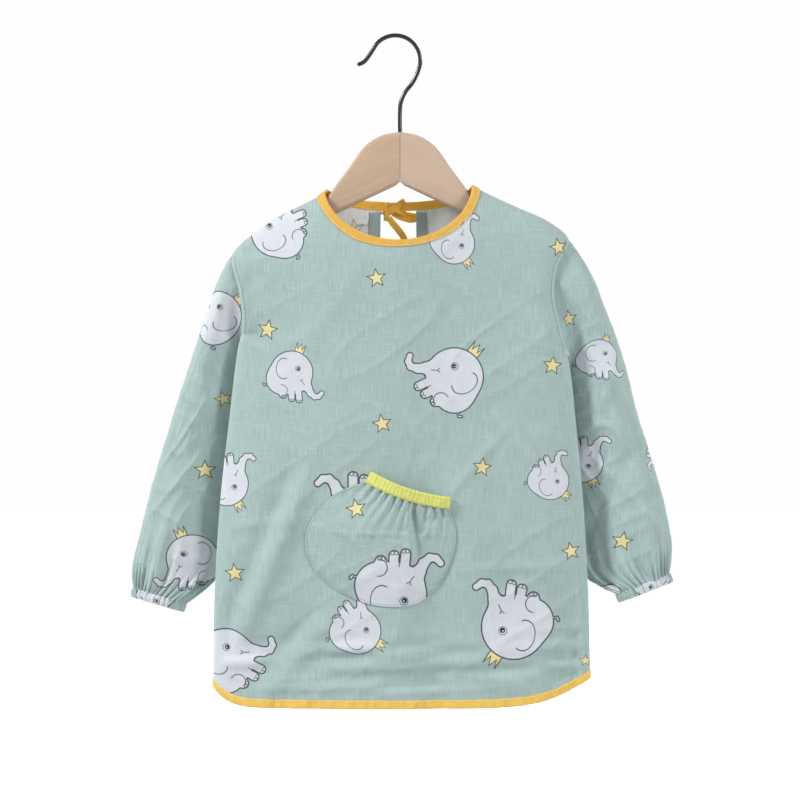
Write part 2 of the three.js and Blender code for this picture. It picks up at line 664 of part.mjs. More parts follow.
function sleeveGroup(side) {
  const group = new THREE.Group();
  const pivot = new THREE.Vector3(SIGN[side] * edgeAt[side](ARMHOLE[side].top), 0,
    ARMHOLE[side].top + SHOULDER_PIVOT_RISE);
  group.position.copy(pivot);
  const fromPivot = (geometry) => geometry.translate(-pivot.x, -pivot.y, -pivot.z);
  group.add(piece(`sleeve_${side}`, fromPivot(sleeveCloth(side)), MINT_COTTON()));
  group.add(piece(`cuff_${side}`, fromPivot(cuff(side)), MINT_COTTON()));
  group.add(piece(`cuff_elastic_${side}`, fromPivot(cuffElastic(side)), WHITE_ELASTIC()));
  return group;
}

const smock = new THREE.Group();
smock.add(hookGroup(), bodyGroup(), sleeveGroup("left"), sleeveGroup("right"));

export default smock;
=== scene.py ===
"""Looks for a child's long-sleeved art smock on a small wooden hanger with a swivel hook.

Shapes are worked out in millimetres and turned to metres when a mesh is made.
"""

import math
from functools import reduce

import bmesh
import bpy
import numpy as np
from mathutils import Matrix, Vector


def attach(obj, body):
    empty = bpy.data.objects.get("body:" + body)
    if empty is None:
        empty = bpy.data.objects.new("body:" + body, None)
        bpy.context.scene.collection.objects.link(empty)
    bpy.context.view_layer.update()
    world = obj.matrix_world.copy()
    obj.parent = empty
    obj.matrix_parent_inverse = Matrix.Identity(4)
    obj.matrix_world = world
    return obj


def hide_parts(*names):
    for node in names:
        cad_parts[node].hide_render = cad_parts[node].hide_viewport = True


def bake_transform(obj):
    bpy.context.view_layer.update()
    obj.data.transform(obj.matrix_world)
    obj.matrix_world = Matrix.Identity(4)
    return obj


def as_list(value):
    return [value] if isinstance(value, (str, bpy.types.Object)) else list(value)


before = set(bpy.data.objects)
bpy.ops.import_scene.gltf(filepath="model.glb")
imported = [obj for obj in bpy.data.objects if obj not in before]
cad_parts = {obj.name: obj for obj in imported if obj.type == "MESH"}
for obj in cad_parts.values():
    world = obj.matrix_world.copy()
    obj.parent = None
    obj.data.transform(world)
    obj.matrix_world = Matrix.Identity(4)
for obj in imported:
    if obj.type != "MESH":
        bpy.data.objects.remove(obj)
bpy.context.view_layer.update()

scene = bpy.context.scene
MM = 0.001

# ---------------------------------------------------------------- camera
EYE_AWAY, EYE_Z = 3.0, -0.3258
eye = bpy.data.cameras.new("eye")
eye.lens = 150
eye.sensor_width = 36
camera = bpy.data.objects.new("eye", eye)
camera.location = (0, -EYE_AWAY, EYE_Z)
camera.rotation_euler = (math.radians(90), 0, 0)
scene.collection.objects.link(camera)
scene.camera = camera
scene.view_settings.view_transform = "Standard"

# ---------------------------------------------------------------- sizes, as in the part
GAP = 0.3
WIRE = 3.8
CROOK_RADIUS = 22.5
CROOK_SHIFT = -4.2
WOOD = 10
WOOD_ROUND = 4
APEX_TOP = -84.5
APEX_UNDER = -131
UNDER_SLOPE = 0.47
ARM_REACH = 129
TIP_RUN = 7
HEAD_POCKET = 6
CLOTH = 0.7
BINDING_WIDTH = 8
EDGE = {
    "left": [(-122, 48), (-136, 64), (-145, 77), (-161, 109), (-176, 131), (-195, 150), (-228, 144),
             (-256, 141), (-282, 146), (-344, 153.5), (-417, 161.5), (-500, 166.5), (-604, 168)],
    "right": [(-120, 48), (-131, 62), (-139.5, 77), (-153, 106), (-164, 131), (-181, 151), (-205, 141),
              (-232, 138), (-262, 144), (-293, 152), (-346, 158), (-417, 164.5), (-500, 169), (-604, 171.5)],
}
ARMHOLE = {"left": (-195, -266), "right": (-181, -286)}
ARMHOLE_OPEN = 9
HEM_Z = -601
HEM_RISE = {"left": 18, "right": 26}
HEM_RISE_POWER = {"left": 14, "right": 5}
DEPTH = {"front": 22, "back": 21.5}
NECK_X, NECK_Z, NECK_HALF = -1.8, -132, 67.2
NECK_DROP = {"front": 51, "back": 16}
BACK_EDGE = {"left": -17, "right": 14}
BACK_SPREAD = 9
TIE_REACH = {"left": 4, "right": 10.5}
SLEEVE = {
    "left": ([(-164, -219), (-184, -273), (-207, -343), (-222, -392), (-234, -443), (-241, -478), (-239.5, -496)],
             [(-146.5, -277), (-147, -310), (-151, -365), (-155, -412), (-161, -455), (-170, -490), (-194, -509.5)]),
    "right": ([(171, -209), (197, -273), (216, -344), (230, -388), (241, -431), (245, -459), (242.5, -483)],
              [(154.5, -297), (153, -325), (155, -370), (158, -415), (163, -455), (172, -489), (196, -501)]),
}
SLEEVE_BEHIND = [3, 9, 12.5, 12.5, 12, 11, 9]
SLEEVE_DEPTH = [10.5, 12.5, 13, 13, 12.5, 12, 10]
POCKET_MIDDLE = (-18, -452)
POCKET_OUTLINE = [(44, -423), (50, -450), (38, -486), (13, -508), (-28, -508), (-65, -489),
                  (-84, -461), (-79, -432), (-57, -409), (-31, -399)]
MOUTH_SAG = 4.5
MOUTH_STANDS = 8
POCKET_BULGE = 3
TAIL = {
    "right": [(-10, 21.5, -160.6), (-7, 21.8, -165), (-2, 22.3, -171), (3, 22.8, -178), (6, 23, -188),
              (7, 23.2, -202), (7, 23.2, -222), (6.5, 23.2, -246), (6, 23.2, -272), (6, 23.2, -300)],
    "left": [(-16.8, 22.5, -154.5), (-22, 23.2, -157.5), (-26.5, 23.7, -164), (-29, 24.3, -174),
             (-30, 24.6, -190), (-30.5, 24.8, -215), (-31, 24.8, -245), (-31, 24.8, -285)],
}
SIGN = {"left": -1, "right": 1}
FACE = {"front": -1, "back": 1}


# ---------------------------------------------------------------- curves and noise
def through(pairs):
    """A smooth function through (input, value) pairs, held level past both ends."""
    rows = np.array(sorted(pairs), float)
    xs, vs = rows[:, 0], rows[:, 1]
    after, before = np.minimum(np.arange(len(xs)) + 1, len(xs) - 1), np.maximum(np.arange(len(xs)) - 1, 0)
    slopes = (vs[after] - vs[before]) / (xs[after] - xs[before])

    def value(x):
        x = np.clip(x, xs[0], xs[-1])
        i = np.clip(np.searchsorted(xs, x, side="left") - 1, 0, len(xs) - 2)
        span = xs[i + 1] - xs[i]
        t = (x - xs[i]) / span
        keep = 1 - t
        return (vs[i] * keep * keep * (1 + 2 * t) + vs[i + 1] * t * t * (3 - 2 * t)
                + span * (slopes[i] * t * keep * keep - slopes[i + 1] * t * t * keep))

    return value


def curve(points):
    """A centripetal Catmull-Rom curve; its input runs from 0 to 1, evenly by point."""
    p = np.array(points, float)
    p = np.vstack([2 * p[0] - p[1], p, 2 * p[-1] - p[-2]])

    def at(t):
        s = np.clip(np.asarray(t, float), 0, 1) * (len(p) - 3)
        i = np.minimum(s.astype(int), len(p) - 4)
        w = (s - i)[..., None]
        a, b, c, d = p[i], p[i + 1], p[i + 2], p[i + 3]
        gaps = [np.linalg.norm(v - u, axis=-1, keepdims=True) for u, v in ((a, b), (b, c), (c, d))]
        step = [np.maximum(gap, 1e-6) ** 0.5 for gap in gaps]
        m1 = ((b - a) / step[0] - (c - a) / (step[0] + step[1]) + (c - b) / step[1]) * step[1]
        m2 = ((c - b) / step[1] - (d - b) / (step[1] + step[2]) + (d - c) / step[2]) * step[1]
        return b + m1 * w + (3 * (c - b) - 2 * m1 - m2) * w * w + (2 * (b - c) + m1 + m2) * w ** 3

    return at


def smooth(a, b, x):
    t = np.clip((x - a) / (b - a), 0, 1)
    return t * t * (3 - 2 * t)


LATTICE = np.random.default_rng(11).uniform(-1, 1, (12, 128, 128))


def noise(x, z, wide, tall, seed=0, turn=0.0):
    """Smooth noise from -1 to 1, whose features are about wide by tall, turned by so many degrees."""
    c, s = math.cos(math.radians(turn)), math.sin(math.radians(turn))
    u, v = (x * c + z * s) / wide + 17.3 * seed + 40, (z * c - x * s) / tall + 31.7 * seed + 40
    i, j = np.floor(u).astype(int), np.floor(v).astype(int)
    a, b = u - i, v - j
    a, b = a * a * a * (a * (6 * a - 15) + 10), b * b * b * (b * (6 * b - 15) + 10)
    g = LATTICE[seed % 12]
    near = lambda m, n: g[(i + m) % 128, (j + n) % 128]
    return (near(0, 0) * (1 - a) + near(1, 0) * a) * (1 - b) + (near(0, 1) * (1 - a) + near(1, 1) * a) * b


def crease(x, z, wide, tall, seed, turn, sharp=3):
    """Noise drawn up into narrow ridges, as thin cotton creases."""
    return (1 - np.abs(noise(x, z, wide, tall, seed, turn))) ** sharp - 0.35


def ridge(x, z, start, end, half, fade=0.25):
    """A soft ridge from start to end, half wide each side."""
    a, b = np.array(start, float), np.array(end, float)
    run = b - a
    t = ((x - a[0]) * run[0] + (z - a[1]) * run[1]) / (run @ run)
    off = ((x - a[0]) * run[1] - (z - a[1]) * run[0]) / math.sqrt(run @ run)
    return np.exp(-((off / half) ** 2)) * smooth(-fade, fade, t) * smooth(1 + fade, 1 - fade, t)


# ---------------------------------------------------------------- meshes
def lengths(path):
    """How far along a line of points each point is."""
    return np.concatenate([[0], np.cumsum(np.linalg.norm(np.diff(path, axis=0), axis=1))])


def make(name, points, faces, materials, face_material=None, uvs=None, sharp=50):
    """A mesh object. faces is a list of index arrays, each (n, corners); uvs maps a layer to values per corner."""
    me = bpy.data.meshes.new(name)
    pts = np.asarray(points, np.float32).reshape(-1, 3) * MM
    me.vertices.add(len(pts))
    me.vertices.foreach_set("co", pts.ravel())
    loops = np.concatenate([np.asarray(f, np.int32).ravel() for f in faces])
    sizes = np.concatenate([np.full(len(f), np.shape(f)[1], np.int32) for f in faces])
    me.loops.add(len(loops))
    me.loops.foreach_set("vertex_index", loops)
    me.polygons.add(len(sizes))
    me.polygons.foreach_set("loop_start", np.concatenate([[0], np.cumsum(sizes)[:-1]]).astype(np.int32))
    if face_material is not None:
        me.polygons.foreach_set("material_index", np.asarray(face_material, np.int32))
    for layer, values in (uvs or {}).items():
        me.uv_layers.new(name=layer).data.foreach_set("uv", np.asarray(values, np.float32).ravel())
    me.update(calc_edges=True)
    me.validate()
    me.polygons.foreach_set("use_smooth", np.ones(len(me.polygons), bool))
    me.set_sharp_from_angle(angle=math.radians(sharp))
    for m in materials:
        me.materials.append(m)
    ob = bpy.data.objects.new(name, me)
    scene.collection.objects.link(ob)
    return ob


def volume(points, quads):
    a, b, c, d = (points[quads[:, k]] for k in range(4))
    return (a * np.cross(b, c)).sum() + (a * np.cross(c, d)).sum()


def grid(ni, nj, wrap):
    cols = nj if wrap else nj - 1
    i, j = (k.ravel() for k in np.meshgrid(np.arange(ni - 1), np.arange(cols), indexing="ij"))
    corners = [(i, j), (i + 1, j), (i + 1, j + 1), (i, j + 1)]
    wide = nj + 1 if wrap else nj
    return (np.stack([a * nj + b % nj for a, b in corners], 1), np.stack([a * wide + b for a, b in corners], 1))


def rims(ni, nj, wrap):
    """Edge strips that join the outer grid to the inner one, as (outer a, outer b) vertex and uv pairs."""
    wide = nj + 1 if wrap else nj
    j = np.arange(nj if wrap else nj - 1)
    out = [(0, j, 0, j + 1), (ni - 1, j + 1, ni - 1, j)]
    if not wrap:
        i = np.arange(ni - 1)
        out += [(i + 1, 0, i, 0), (i, nj - 1, i + 1, nj - 1)]
    pairs = [np.broadcast_arrays(*(np.asarray(k) for k in row)) for row in out]
    vert = np.concatenate([np.stack([a * nj + b % nj, c * nj + d % nj], 1) for a, b, c, d in pairs])
    at = np.concatenate([np.stack([a * wide + b, c * wide + d], 1) for a, b, c, d in pairs])
    return vert, at


def cloth(name, outer, inner, uv, materials, wrap=False, prints=None):
    """A closed thin sheet from two grids of points; uv is its place on the flat cloth, in millimetres."""
    ni, nj = outer.shape[:2]
    vert, at = grid(ni, nj, wrap)
    edge, edge_at = rims(ni, nj, wrap)
    n = ni * nj
    strip = lambda pair, step: np.stack([pair[:, 0], pair[:, 1], pair[:, 1] + step, pair[:, 0] + step], 1)
    points = np.concatenate([outer.reshape(-1, 3), inner.reshape(-1, 3)])
    faces = np.concatenate([vert, vert[:, ::-1] + n, strip(edge, n)])
    places = np.concatenate([at, at[:, ::-1], strip(edge_at, 0)])
    which = np.repeat([0, 1, 0], [len(vert), len(vert), len(edge)])
    if volume(points, faces) < 0:
        faces, places = faces[:, ::-1], places[:, ::-1]
    flat = uv.reshape(-1, 2)[places]
    layers = {"Cloth": flat * MM}
    if prints is not None:
        layers.update(printed(flat, prints))
    return make(name, points, [faces], materials, which, layers)


OFF_PRINT = 9.0  # a place past the edge of any drawing, in the drawing's own measure
PRINT_REACH = 1.6  # how far out a drawing is painted, in the same measure


def printed(flat, motifs):
    """Each face's place in the drawing nearest to it, for the shader to paint."""
    middle = flat.mean(1)
    out = {}
    for layer in ("Beast", "Star"):
        local = np.full(flat.shape, OFF_PRINT)
        best = np.full(len(flat), 1e9)
        for x, z, size, turn, *hand in motifs[layer]:
            c, s = math.cos(math.radians(turn)), math.sin(math.radians(turn))
            to = lambda p: np.stack([((p[..., 0] - x) * c + (p[..., 1] - z) * s) * (hand or [1])[0],
                                     (p[..., 1] - z) * c - (p[..., 0] - x) * s], -1) / size
            reach = np.linalg.norm(to(middle), axis=1)
            mine = (reach < PRINT_REACH) & (reach < best)
            best[mine] = reach[mine]
            local[mine] = to(flat[mine])
        out[layer] = local
    return out


def loft(name, loops, material, along=None, sharp=50):
    """A closed body through loops of points (count, n, 3), with a flat cap at each end."""
    loops = np.asarray(loops, float)
    count, n = loops.shape[:2]
    vert, at = grid(count, n, True)
    points = loops.reshape(-1, 3)
    caps = [np.arange(n)[None, :], (count - 1) * n + np.arange(n)[::-1][None, :]]
    if volume(points, vert) < 0:
        vert, at, caps = vert[:, ::-1], at[:, ::-1], [c[:, ::-1] for c in caps]
    run = lengths(loops.mean(1)) if along is None else along
    ring = lengths(np.vstack([loops[count // 2], loops[count // 2][:1]]))
    uv = np.stack(np.meshgrid(run, ring, indexing="ij"), -1).reshape(-1, 2)
    ends = [np.stack([np.full(n, end), ring[:n]], 1) for end in (run[0], run[-1])]
    corner = np.concatenate([uv[at].reshape(-1, 2)] + ends) * MM
    return make(name, points, [vert] + caps, [material], None, {"Cloth": corner}, sharp)


def frames(path, up):
    """Tangent, side and normal along a polyline, where up is the way its flat side faces."""
    t = np.gradient(path, axis=0)
    t /= np.linalg.norm(t, axis=1, keepdims=True)
    up = np.broadcast_to(np.asarray(up, float), path.shape)
    side = np.cross(up, t)
    side /= np.maximum(np.linalg.norm(side, axis=1, keepdims=True), 1e-9)
    return t, side, np.cross(t, side)


def swept(path, section, up, scale=None):
    """Loops of a section [(across, out)] carried along a path."""
    _, side, out = frames(path, up)
    sec = np.asarray(section, float)[None] * (1 if scale is None else scale[:, None, None])
    return path[:, None] + side[:, None] * sec[..., :1] + out[:, None] * sec[..., 1:]


def rounded(wide, thick, corner, steps=3):
    """A flat section with rounded corners."""
    pts = []
    x, y = wide / 2 - corner, thick / 2 - corner
    for cx, cy, start in ((x, y, 0), (-x, y, 90), (-x, -y, 180), (x, -y, 270)):
        for k in range(steps + 1):
            a = math.radians(start + 90 * k / steps)
            pts.append((cx + corner * math.cos(a), cy + corner * math.sin(a)))
    return pts


def sampled(where, run, values):
    return np.stack([np.interp(where, run, values[:, k]) for k in range(3)], 1)


def resample(path, count):
    """Evenly spaced points along a line."""
    run = lengths(path)
    return sampled(np.linspace(0, run[-1], count), run, path)


def stitches(name, rows, material, length=2.3, gap=0.7, thick=0.42):
    """Sewing thread along rows of (line, way it faces): each stitch lies on the cloth and dips in at both ends."""
    sides, stations = 6, 5
    tube, _ = grid(stations, sides, True)
    far_cap = np.array([[3, 2, 1, 0], [5, 4, 3, 0]]) + (stations - 1) * sides
    one = np.concatenate([tube, [[0, 1, 2, 3], [0, 3, 4, 5]], far_cap])
    a = np.arange(sides) * 2 * math.pi / sides
    cos, sin = np.cos(a)[None, :, None], np.sin(a)[None, :, None]
    bow = np.sin(np.linspace(0, math.pi, stations))
    fat = (thick / 2 * (0.45 + 0.55 * bow))[:, None, None]
    pitch = length + gap
    points = []
    for line, outward in rows:
        run = lengths(line)
        outward = np.broadcast_to(np.asarray(outward, float), line.shape)
        for k in range(int(run[-1] / pitch)):
            s = np.linspace(k * pitch + gap / 2, k * pitch + gap / 2 + length, stations)
            p = sampled(s, run, line)
            _, side, out = frames(p, sampled(s, run, outward))
            p = p + out * ((bow - 0.35) * thick * 0.5)[:, None]
            points.append((p[:, None] + (side[:, None] * cos + out[:, None] * sin) * fat).reshape(-1, 3))
    faces = np.concatenate([one + k * sides * stations for k in range(len(points))])
    points = np.concatenate(points)
    if volume(points, faces) < 0:
        faces = faces[:, ::-1]
    return make(name, points, [faces], [material], sharp=80)


# ---------------------------------------------------------------- materials
class Value:
    """A node's output, which can be reckoned with as a number can."""

    def __init__(self, graph, socket):
        self.graph, self.socket = graph, socket

    def __add__(self, other):
        return self.graph.math("ADD", self, other)

    def __sub__(self, other):
        return self.graph.math("SUBTRACT", self, other)

    def __rsub__(self, other):
        return self.graph.math("SUBTRACT", other, self)

    def __mul__(self, other):
        return self.graph.math("MULTIPLY", self, other)

    def level(self, low, high):
        """This, from 0..1, spread to low..high."""
        return self.graph.math("MULTIPLY_ADD", self, high - low, low)

    def inside(self, soft=0.02):
        """A mask, from this as a distance to a shape's edge."""
        return self.graph.math("MULTIPLY_ADD", self, -1 / soft, 0.5, clamp=True)

    def outline(self, half, soft=0.014):
        return (self.graph.math("ABSOLUTE", self) - half).inside(soft)


class Graph:
    """Builds one material's nodes, from numbers, tuples and Values."""

    def __init__(self, name):
        self.material = bpy.data.materials.new(name)
        self.material.use_nodes = True
        self.tree = self.material.node_tree
        self.tree.nodes.clear()

    def put(self, value, socket):
        if isinstance(value, Value):
            self.tree.links.new(value.socket, socket)
        else:
            socket.default_value = value

    def add(self, kind, inputs=(), output=0, **settings):
        """One output of a new node, whose inputs go by name or number."""
        node = self.tree.nodes.new(kind)
        for key, value in settings.items():
            setattr(node, key, value)
        for key, value in dict(inputs).items():
            self.put(value, node.inputs[key])
        return Value(self, node.outputs[output])

    def math(self, op, *values, clamp=False):
        return self.add("ShaderNodeMath", enumerate(values), operation=op, use_clamp=clamp)

    def fold(self, op, values, *soft):
        """One operation carried through a list of values."""
        return reduce(lambda a, b: self.math(op, a, b, *soft), values)

    def vec(self, op, *values):
        output = "Value" if op in ("LENGTH", "DOT_PRODUCT", "DISTANCE") else "Vector"
        slots = (0, "Scale" if op == "SCALE" else 1)
        return self.add("ShaderNodeVectorMath", zip(slots, values), output, operation=op)

    def mix(self, share, a, b, blend="MIX"):
        return self.add("ShaderNodeMix", {0: share, 6: a, 7: b}, 2, data_type="RGBA", blend_type=blend)

    def uv(self, layer):
        return self.add("ShaderNodeUVMap", uv_map=layer)

    def place(self):
        return self.add("ShaderNodeTexCoord", output="Object")

    def parts(self, vector):
        """A vector's x and y."""
        x = self.add("ShaderNodeSeparateXYZ", {0: vector})
        return x, Value(self, x.socket.node.outputs[1])

    def grey(self, value):
        return self.add("ShaderNodeCombineColor", {"Red": value, "Green": value, "Blue": value})

    def scaled(self, vector, x, y, z):
        return self.add("ShaderNodeMapping", {"Vector": vector, "Scale": (x, y, z)})

    def turned(self, vector, degrees, axis):
        inputs = {"Vector": vector, "Angle": math.radians(degrees)}
        return self.add("ShaderNodeVectorRotate", inputs, rotation_type=axis)

    def noise(self, vector, scale=1.0, detail=2, rough=0.5):
        inputs = {"Vector": vector, "Scale": scale, "Detail": detail, "Roughness": rough}
        return self.add("ShaderNodeTexNoise", inputs, "Fac")

    def finish(self, colour, rough, height=None, depth=0.0002, strength=0.4, **others):
        inputs = {key.replace("_", " "): value for key, value in others.items()}
        if height is not None:
            inputs["Normal"] = self.add("ShaderNodeBump", {"Height": height, "Strength": strength, "Distance": depth})
        shader = self.add("ShaderNodeBsdfPrincipled", {"Base Color": colour, "Roughness": rough, **inputs})
        self.put(shader, self.tree.nodes.new("ShaderNodeOutputMaterial").inputs["Surface"])
        return self.material


def linear(r, g, b):
    return tuple(((c / 255 + 0.055) / 1.055) ** 2.4 if c > 10 else c / 255 / 12.92 for c in (r, g, b)) + (1.0,)


def shade(colour, k):
    return tuple(c * k for c in colour[:3]) + (1,)


def beast(g):
    """A small round elephant with a paper crown: masks for its fill, lines, crown and pupil."""
    p = g.uv("Beast")

    def disc(x, y, r):
        return g.vec("DISTANCE", p, (x, y, 0)) - r

    def rod(a, b, r):
        """Distance to a line with round ends."""
        ba = (b[0] - a[0], b[1] - a[1], 0)
        pa = g.vec("SUBTRACT", p, (a[0], a[1], 0))
        h = g.math("MULTIPLY", g.vec("DOT_PRODUCT", pa, ba), 1 / (ba[0] ** 2 + ba[1] ** 2), clamp=True)
        return g.vec("LENGTH", g.vec("SUBTRACT", pa, g.vec("SCALE", ba, h))) - r

    body = g.fold("SMOOTH_MIN", [disc(0.06, 0.06, 0.72), disc(-0.26, -0.13, 0.53)], 0.16)
    nose = [(0.5, -0.15, 0.15), (0.62, -0.45, 0.125), (0.71, -0.62, 0.1), (0.84, -0.74, 0.088), (0.98, -0.73, 0.08),
            (1.08, -0.62, 0)]
    trunk = g.fold("SMOOTH_MIN", [rod(a[:2], b[:2], a[2]) for a, b in zip(nose, nose[1:])], 0.05)
    limbs = [rod((0.29, -0.5), (0.32, -0.83), 0.11), rod((0.05, -0.5), (0.07, -0.79), 0.11),
             rod((-0.34, -0.42), (-0.22, -0.66), 0.13),
             rod((-0.74, -0.33), (-0.84, -0.35), 0.022), rod((-0.84, -0.35), (-0.88, -0.3), 0.03)]
    whole = g.fold("MINIMUM", [g.math("SMOOTH_MIN", body, trunk, 0.14)] + limbs)
    lines = [whole.outline(0.016)]
    # the ear, open towards the face
    q = g.vec("MULTIPLY", g.vec("SUBTRACT", p, (-0.2, 0.2, 0)), (1 / 0.25, 1 / 0.34, 0))
    ear = (g.vec("LENGTH", q) - 1) * 0.29
    lines.append(ear.outline(0.012) * (g.parts(q)[0] - 0.45).inside(0.1))
    # the thigh, the mouth, the notch between the front legs, toes and the eye
    lines.append(disc(-0.27, -0.53, 0.19).outline(0.012) * (-0.3 - g.parts(p)[0]).inside(0.06))
    for a, b in (((0.5, -0.34), (0.41, -0.22)), ((0.18, -0.62), (0.18, -0.55)),
                 ((0.41, -0.22), (0.43, -0.15)), ((0.41, -0.22), (0.34, -0.19))):
        lines.append(rod(a, b, 0.011).inside(0.014))
    for x, y in ((0.27, -0.89), (0.36, -0.89), (0.03, -0.85), (0.12, -0.85), (-0.24, -0.73), (-0.17, -0.72)):
        lines.append(disc(x, y, 0.042).outline(0.009))
    lines.append(disc(0.28, 0.2, 0.09).outline(0.008))
    pupil = disc(0.29, 0.19, 0.06).inside() * (1.0 - disc(0.28, 0.2, 0.018).inside())
    # the crown, tipped forward on the brow
    u, v = g.parts(g.turned(g.vec("SUBTRACT", p, (0.33, 0.78, 0)), 20, "Z_AXIS"))
    zig = g.math("ABSOLUTE", g.math("FRACT", u * (1 / 0.15) + 4.0) * 2.0 - 1.0)
    top = (v - (zig * 0.2 + 0.05)) * 0.5
    crown = g.fold("MAXIMUM", [g.math("ABSOLUTE", u) - 0.15, -0.12 - v, top, whole * -1.0])
    lines.append(crown.outline(0.013))
    return whole.inside(), g.fold("MAXIMUM", lines), crown.inside(), pupil


def star(g):
    """A five-pointed star: masks for its fill and its line."""
    p = g.uv("Star")
    fold = g.math("PINGPONG", g.math("ARCTAN2", *g.parts(p)) + 2 * math.pi, math.pi / 5)
    r = g.vec("LENGTH", p)
    ix, iy = 0.44 * math.cos(math.pi / 5), 0.44 * math.sin(math.pi / 5)
    size = math.hypot(iy, 1 - ix)
    nx, ny = iy / size, (1 - ix) / size
    d = r * g.math("COSINE", fold) * nx + r * g.math("SINE", fold) * ny - nx
    return d.inside(0.06), d.outline(0.045, 0.05)


def weave(g, uv, pitch=0.00036):
    """Plain weave and uneven threads: the cloth's height, and how the threads vary its colour."""
    warp, weft = (g.math("SINE", part * (math.pi / pitch)) for part in g.parts(uv))
    upright, across = g.noise(g.scaled(uv, 1500, 55, 1)), g.noise(g.scaled(uv, 45, 1500, 1))
    return warp * weft * 0.22 + (upright + across), upright * 0.36 + across * 0.22 + g.noise(uv, 30) * 0.04


INK = linear(44, 50, 50)
PUPIL = linear(24, 24, 28)
PRINT_WHITE = linear(210, 214, 221)
PRINT_YELLOW = linear(228, 216, 158)


def cotton(name, colour, ink_share=1.0):
    g = Graph(name)
    height, tone = weave(g, g.uv("Cloth"))
    base = plain = g.mix(tone.level(-0.45, 2.6), shade(colour, 0.74), shade(colour, 1.22))
    if ink_share:
        fill, line, crown, pupil = beast(g)
        star_fill, star_line = star(g)
        base = g.mix(fill, base, g.mix(1.0, PRINT_WHITE, g.grey(tone.level(0.78, 1.42)), "MULTIPLY"))
        base = g.mix(g.math("MAXIMUM", crown, star_fill), base, PRINT_YELLOW)
        base = g.mix(g.math("MAXIMUM", line, star_line) * 0.92, base, INK)
        base = g.mix(ink_share, plain, g.mix(pupil, base, PUPIL))
    return g.finish(base, 0.93, height, 0.00012, 0.55,
                    Sheen_Weight=0.12, Sheen_Roughness=0.5, Specular_IOR_Level=0.25)


def tape(name, colour, dark):
    g = Graph(name)
    uv = g.uv("Cloth")
    height, tone = weave(g, uv, 0.0003)
    base = g.mix((tone + g.noise(uv, 160, 3) * 0.5).level(-0.15, 1.25), dark, colour)
    return g.finish(base, 0.88, height, 0.00012, 0.5,
                    Sheen_Weight=0.15, Sheen_Roughness=0.5, Specular_IOR_Level=0.3)


def thread(name, colour):
    g = Graph(name)
    twist = g.math("SINE", g.vec("DOT_PRODUCT", g.place(), (1, 0.4, 1.3)) * 9000)
    base = g.mix(twist.level(0.35, 0.65), shade(colour, 0.8), colour)
    return g.finish(base, 0.7, twist, 0.00005, 0.5, Sheen_Weight=0.2)


def elastic(name):
    g = Graph(name)
    along, across = g.parts(g.uv("Cloth"))
    height = g.math("SINE", along * (math.pi / 0.0006)) * g.math("SINE", across * (math.pi / 0.0005))
    base = g.mix(height.level(0.3, 0.8), linear(214, 210, 200), linear(243, 241, 234))
    return g.finish(base, 0.85, height, 0.0002, 0.6)


def beech(name, colour, slope):
    """Pale wood: fine grain along the arm, with the short dark flecks of beech."""
    g = Graph(name)
    p = g.turned(g.place(), slope, "Y_AXIS")
    grain = g.noise(g.scaled(p, 16, 260, 260), 1.0, 5, 0.6)
    fine = g.noise(g.scaled(p, 60, 1800, 1800))
    spots = g.add("ShaderNodeTexVoronoi", {"Vector": g.scaled(p, 230, 1300, 1300), "Scale": 1.0}, "Distance")
    flecks = (spots - 0.2).inside(0.12) * 0.35
    tone = grain * 0.6 + (fine * 0.25 + g.noise(p, 22) * 0.2)
    base = g.mix(tone.level(-0.1, 1.25), shade(colour, 0.8), shade(colour, 1.12))
    base = g.mix(flecks, base, shade(colour, 0.55))
    return g.finish(base, grain.level(0.5, 0.68), grain + fine - flecks, 0.00015, 0.3, Specular_IOR_Level=0.4)


def lacquer(name):
    g = Graph(name)
    p = g.place()
    wear = g.noise(p, 120, 4, 0.6)
    base = g.mix(wear.level(0.0, 0.6), linear(14, 14, 16), linear(34, 34, 38))
    return g.finish(base, wear.level(0.24, 0.42), g.noise(p, 900, 3), 0.00005, 0.25,
                    Coat_Weight=0.5, Coat_Roughness=0.15, Specular_IOR_Level=0.6)


SAGE = linear(166, 187, 184)
COTTON = cotton("mint_cotton_print", SAGE)
COTTON_PLAIN = cotton("mint_cotton_plain", SAGE, 0)
# The wrong side: paler than the print side, and painted brighter still, to near white, as painted light in place of
# light shining through the thin cotton into the shaded inside.
WRONG_SIDE_PAINTED_LIGHT = cotton("mint_cotton_wrong_side_painted_light", linear(240, 245, 244), 0.6)
FACES = [COTTON, WRONG_SIDE_PAINTED_LIGHT]
YELLOW = tape("binding_yellow", linear(228, 184, 90), linear(210, 152, 56))
# The binding tape at the back, its ties and the knot: more orange than the front's tape, and painted brighter than it
# to make up for the shade behind the neck.
ORANGE_PAINTED_LIGHT = tape("binding_warm_painted_light", linear(255, 204, 84), linear(246, 172, 50))
HEM = tape("binding_hem", linear(240, 204, 108), linear(220, 172, 68))
LIME = tape("binding_lime", linear(222, 224, 132), linear(198, 202, 96))
THREAD_YELLOW = thread("thread_yellow", linear(255, 240, 176))
THREAD_SAGE = thread("thread_sage", linear(150, 186, 172))
THREAD_DARK = thread("thread_sage_dark", linear(104, 136, 124))
THREAD_LIME = thread("thread_lime", linear(236, 236, 120))
ELASTIC = elastic("elastic_white")
BEECH = {"left": beech("beech_left", linear(193, 165, 141), 25),
         "right": beech("beech_right", linear(199, 174, 153), -25)}
BLACK = lacquer("wire_black")


def ride(ob, body, slot, *nodes):
    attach(ob, body)
    if nodes:
        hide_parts(*nodes)
    return ob


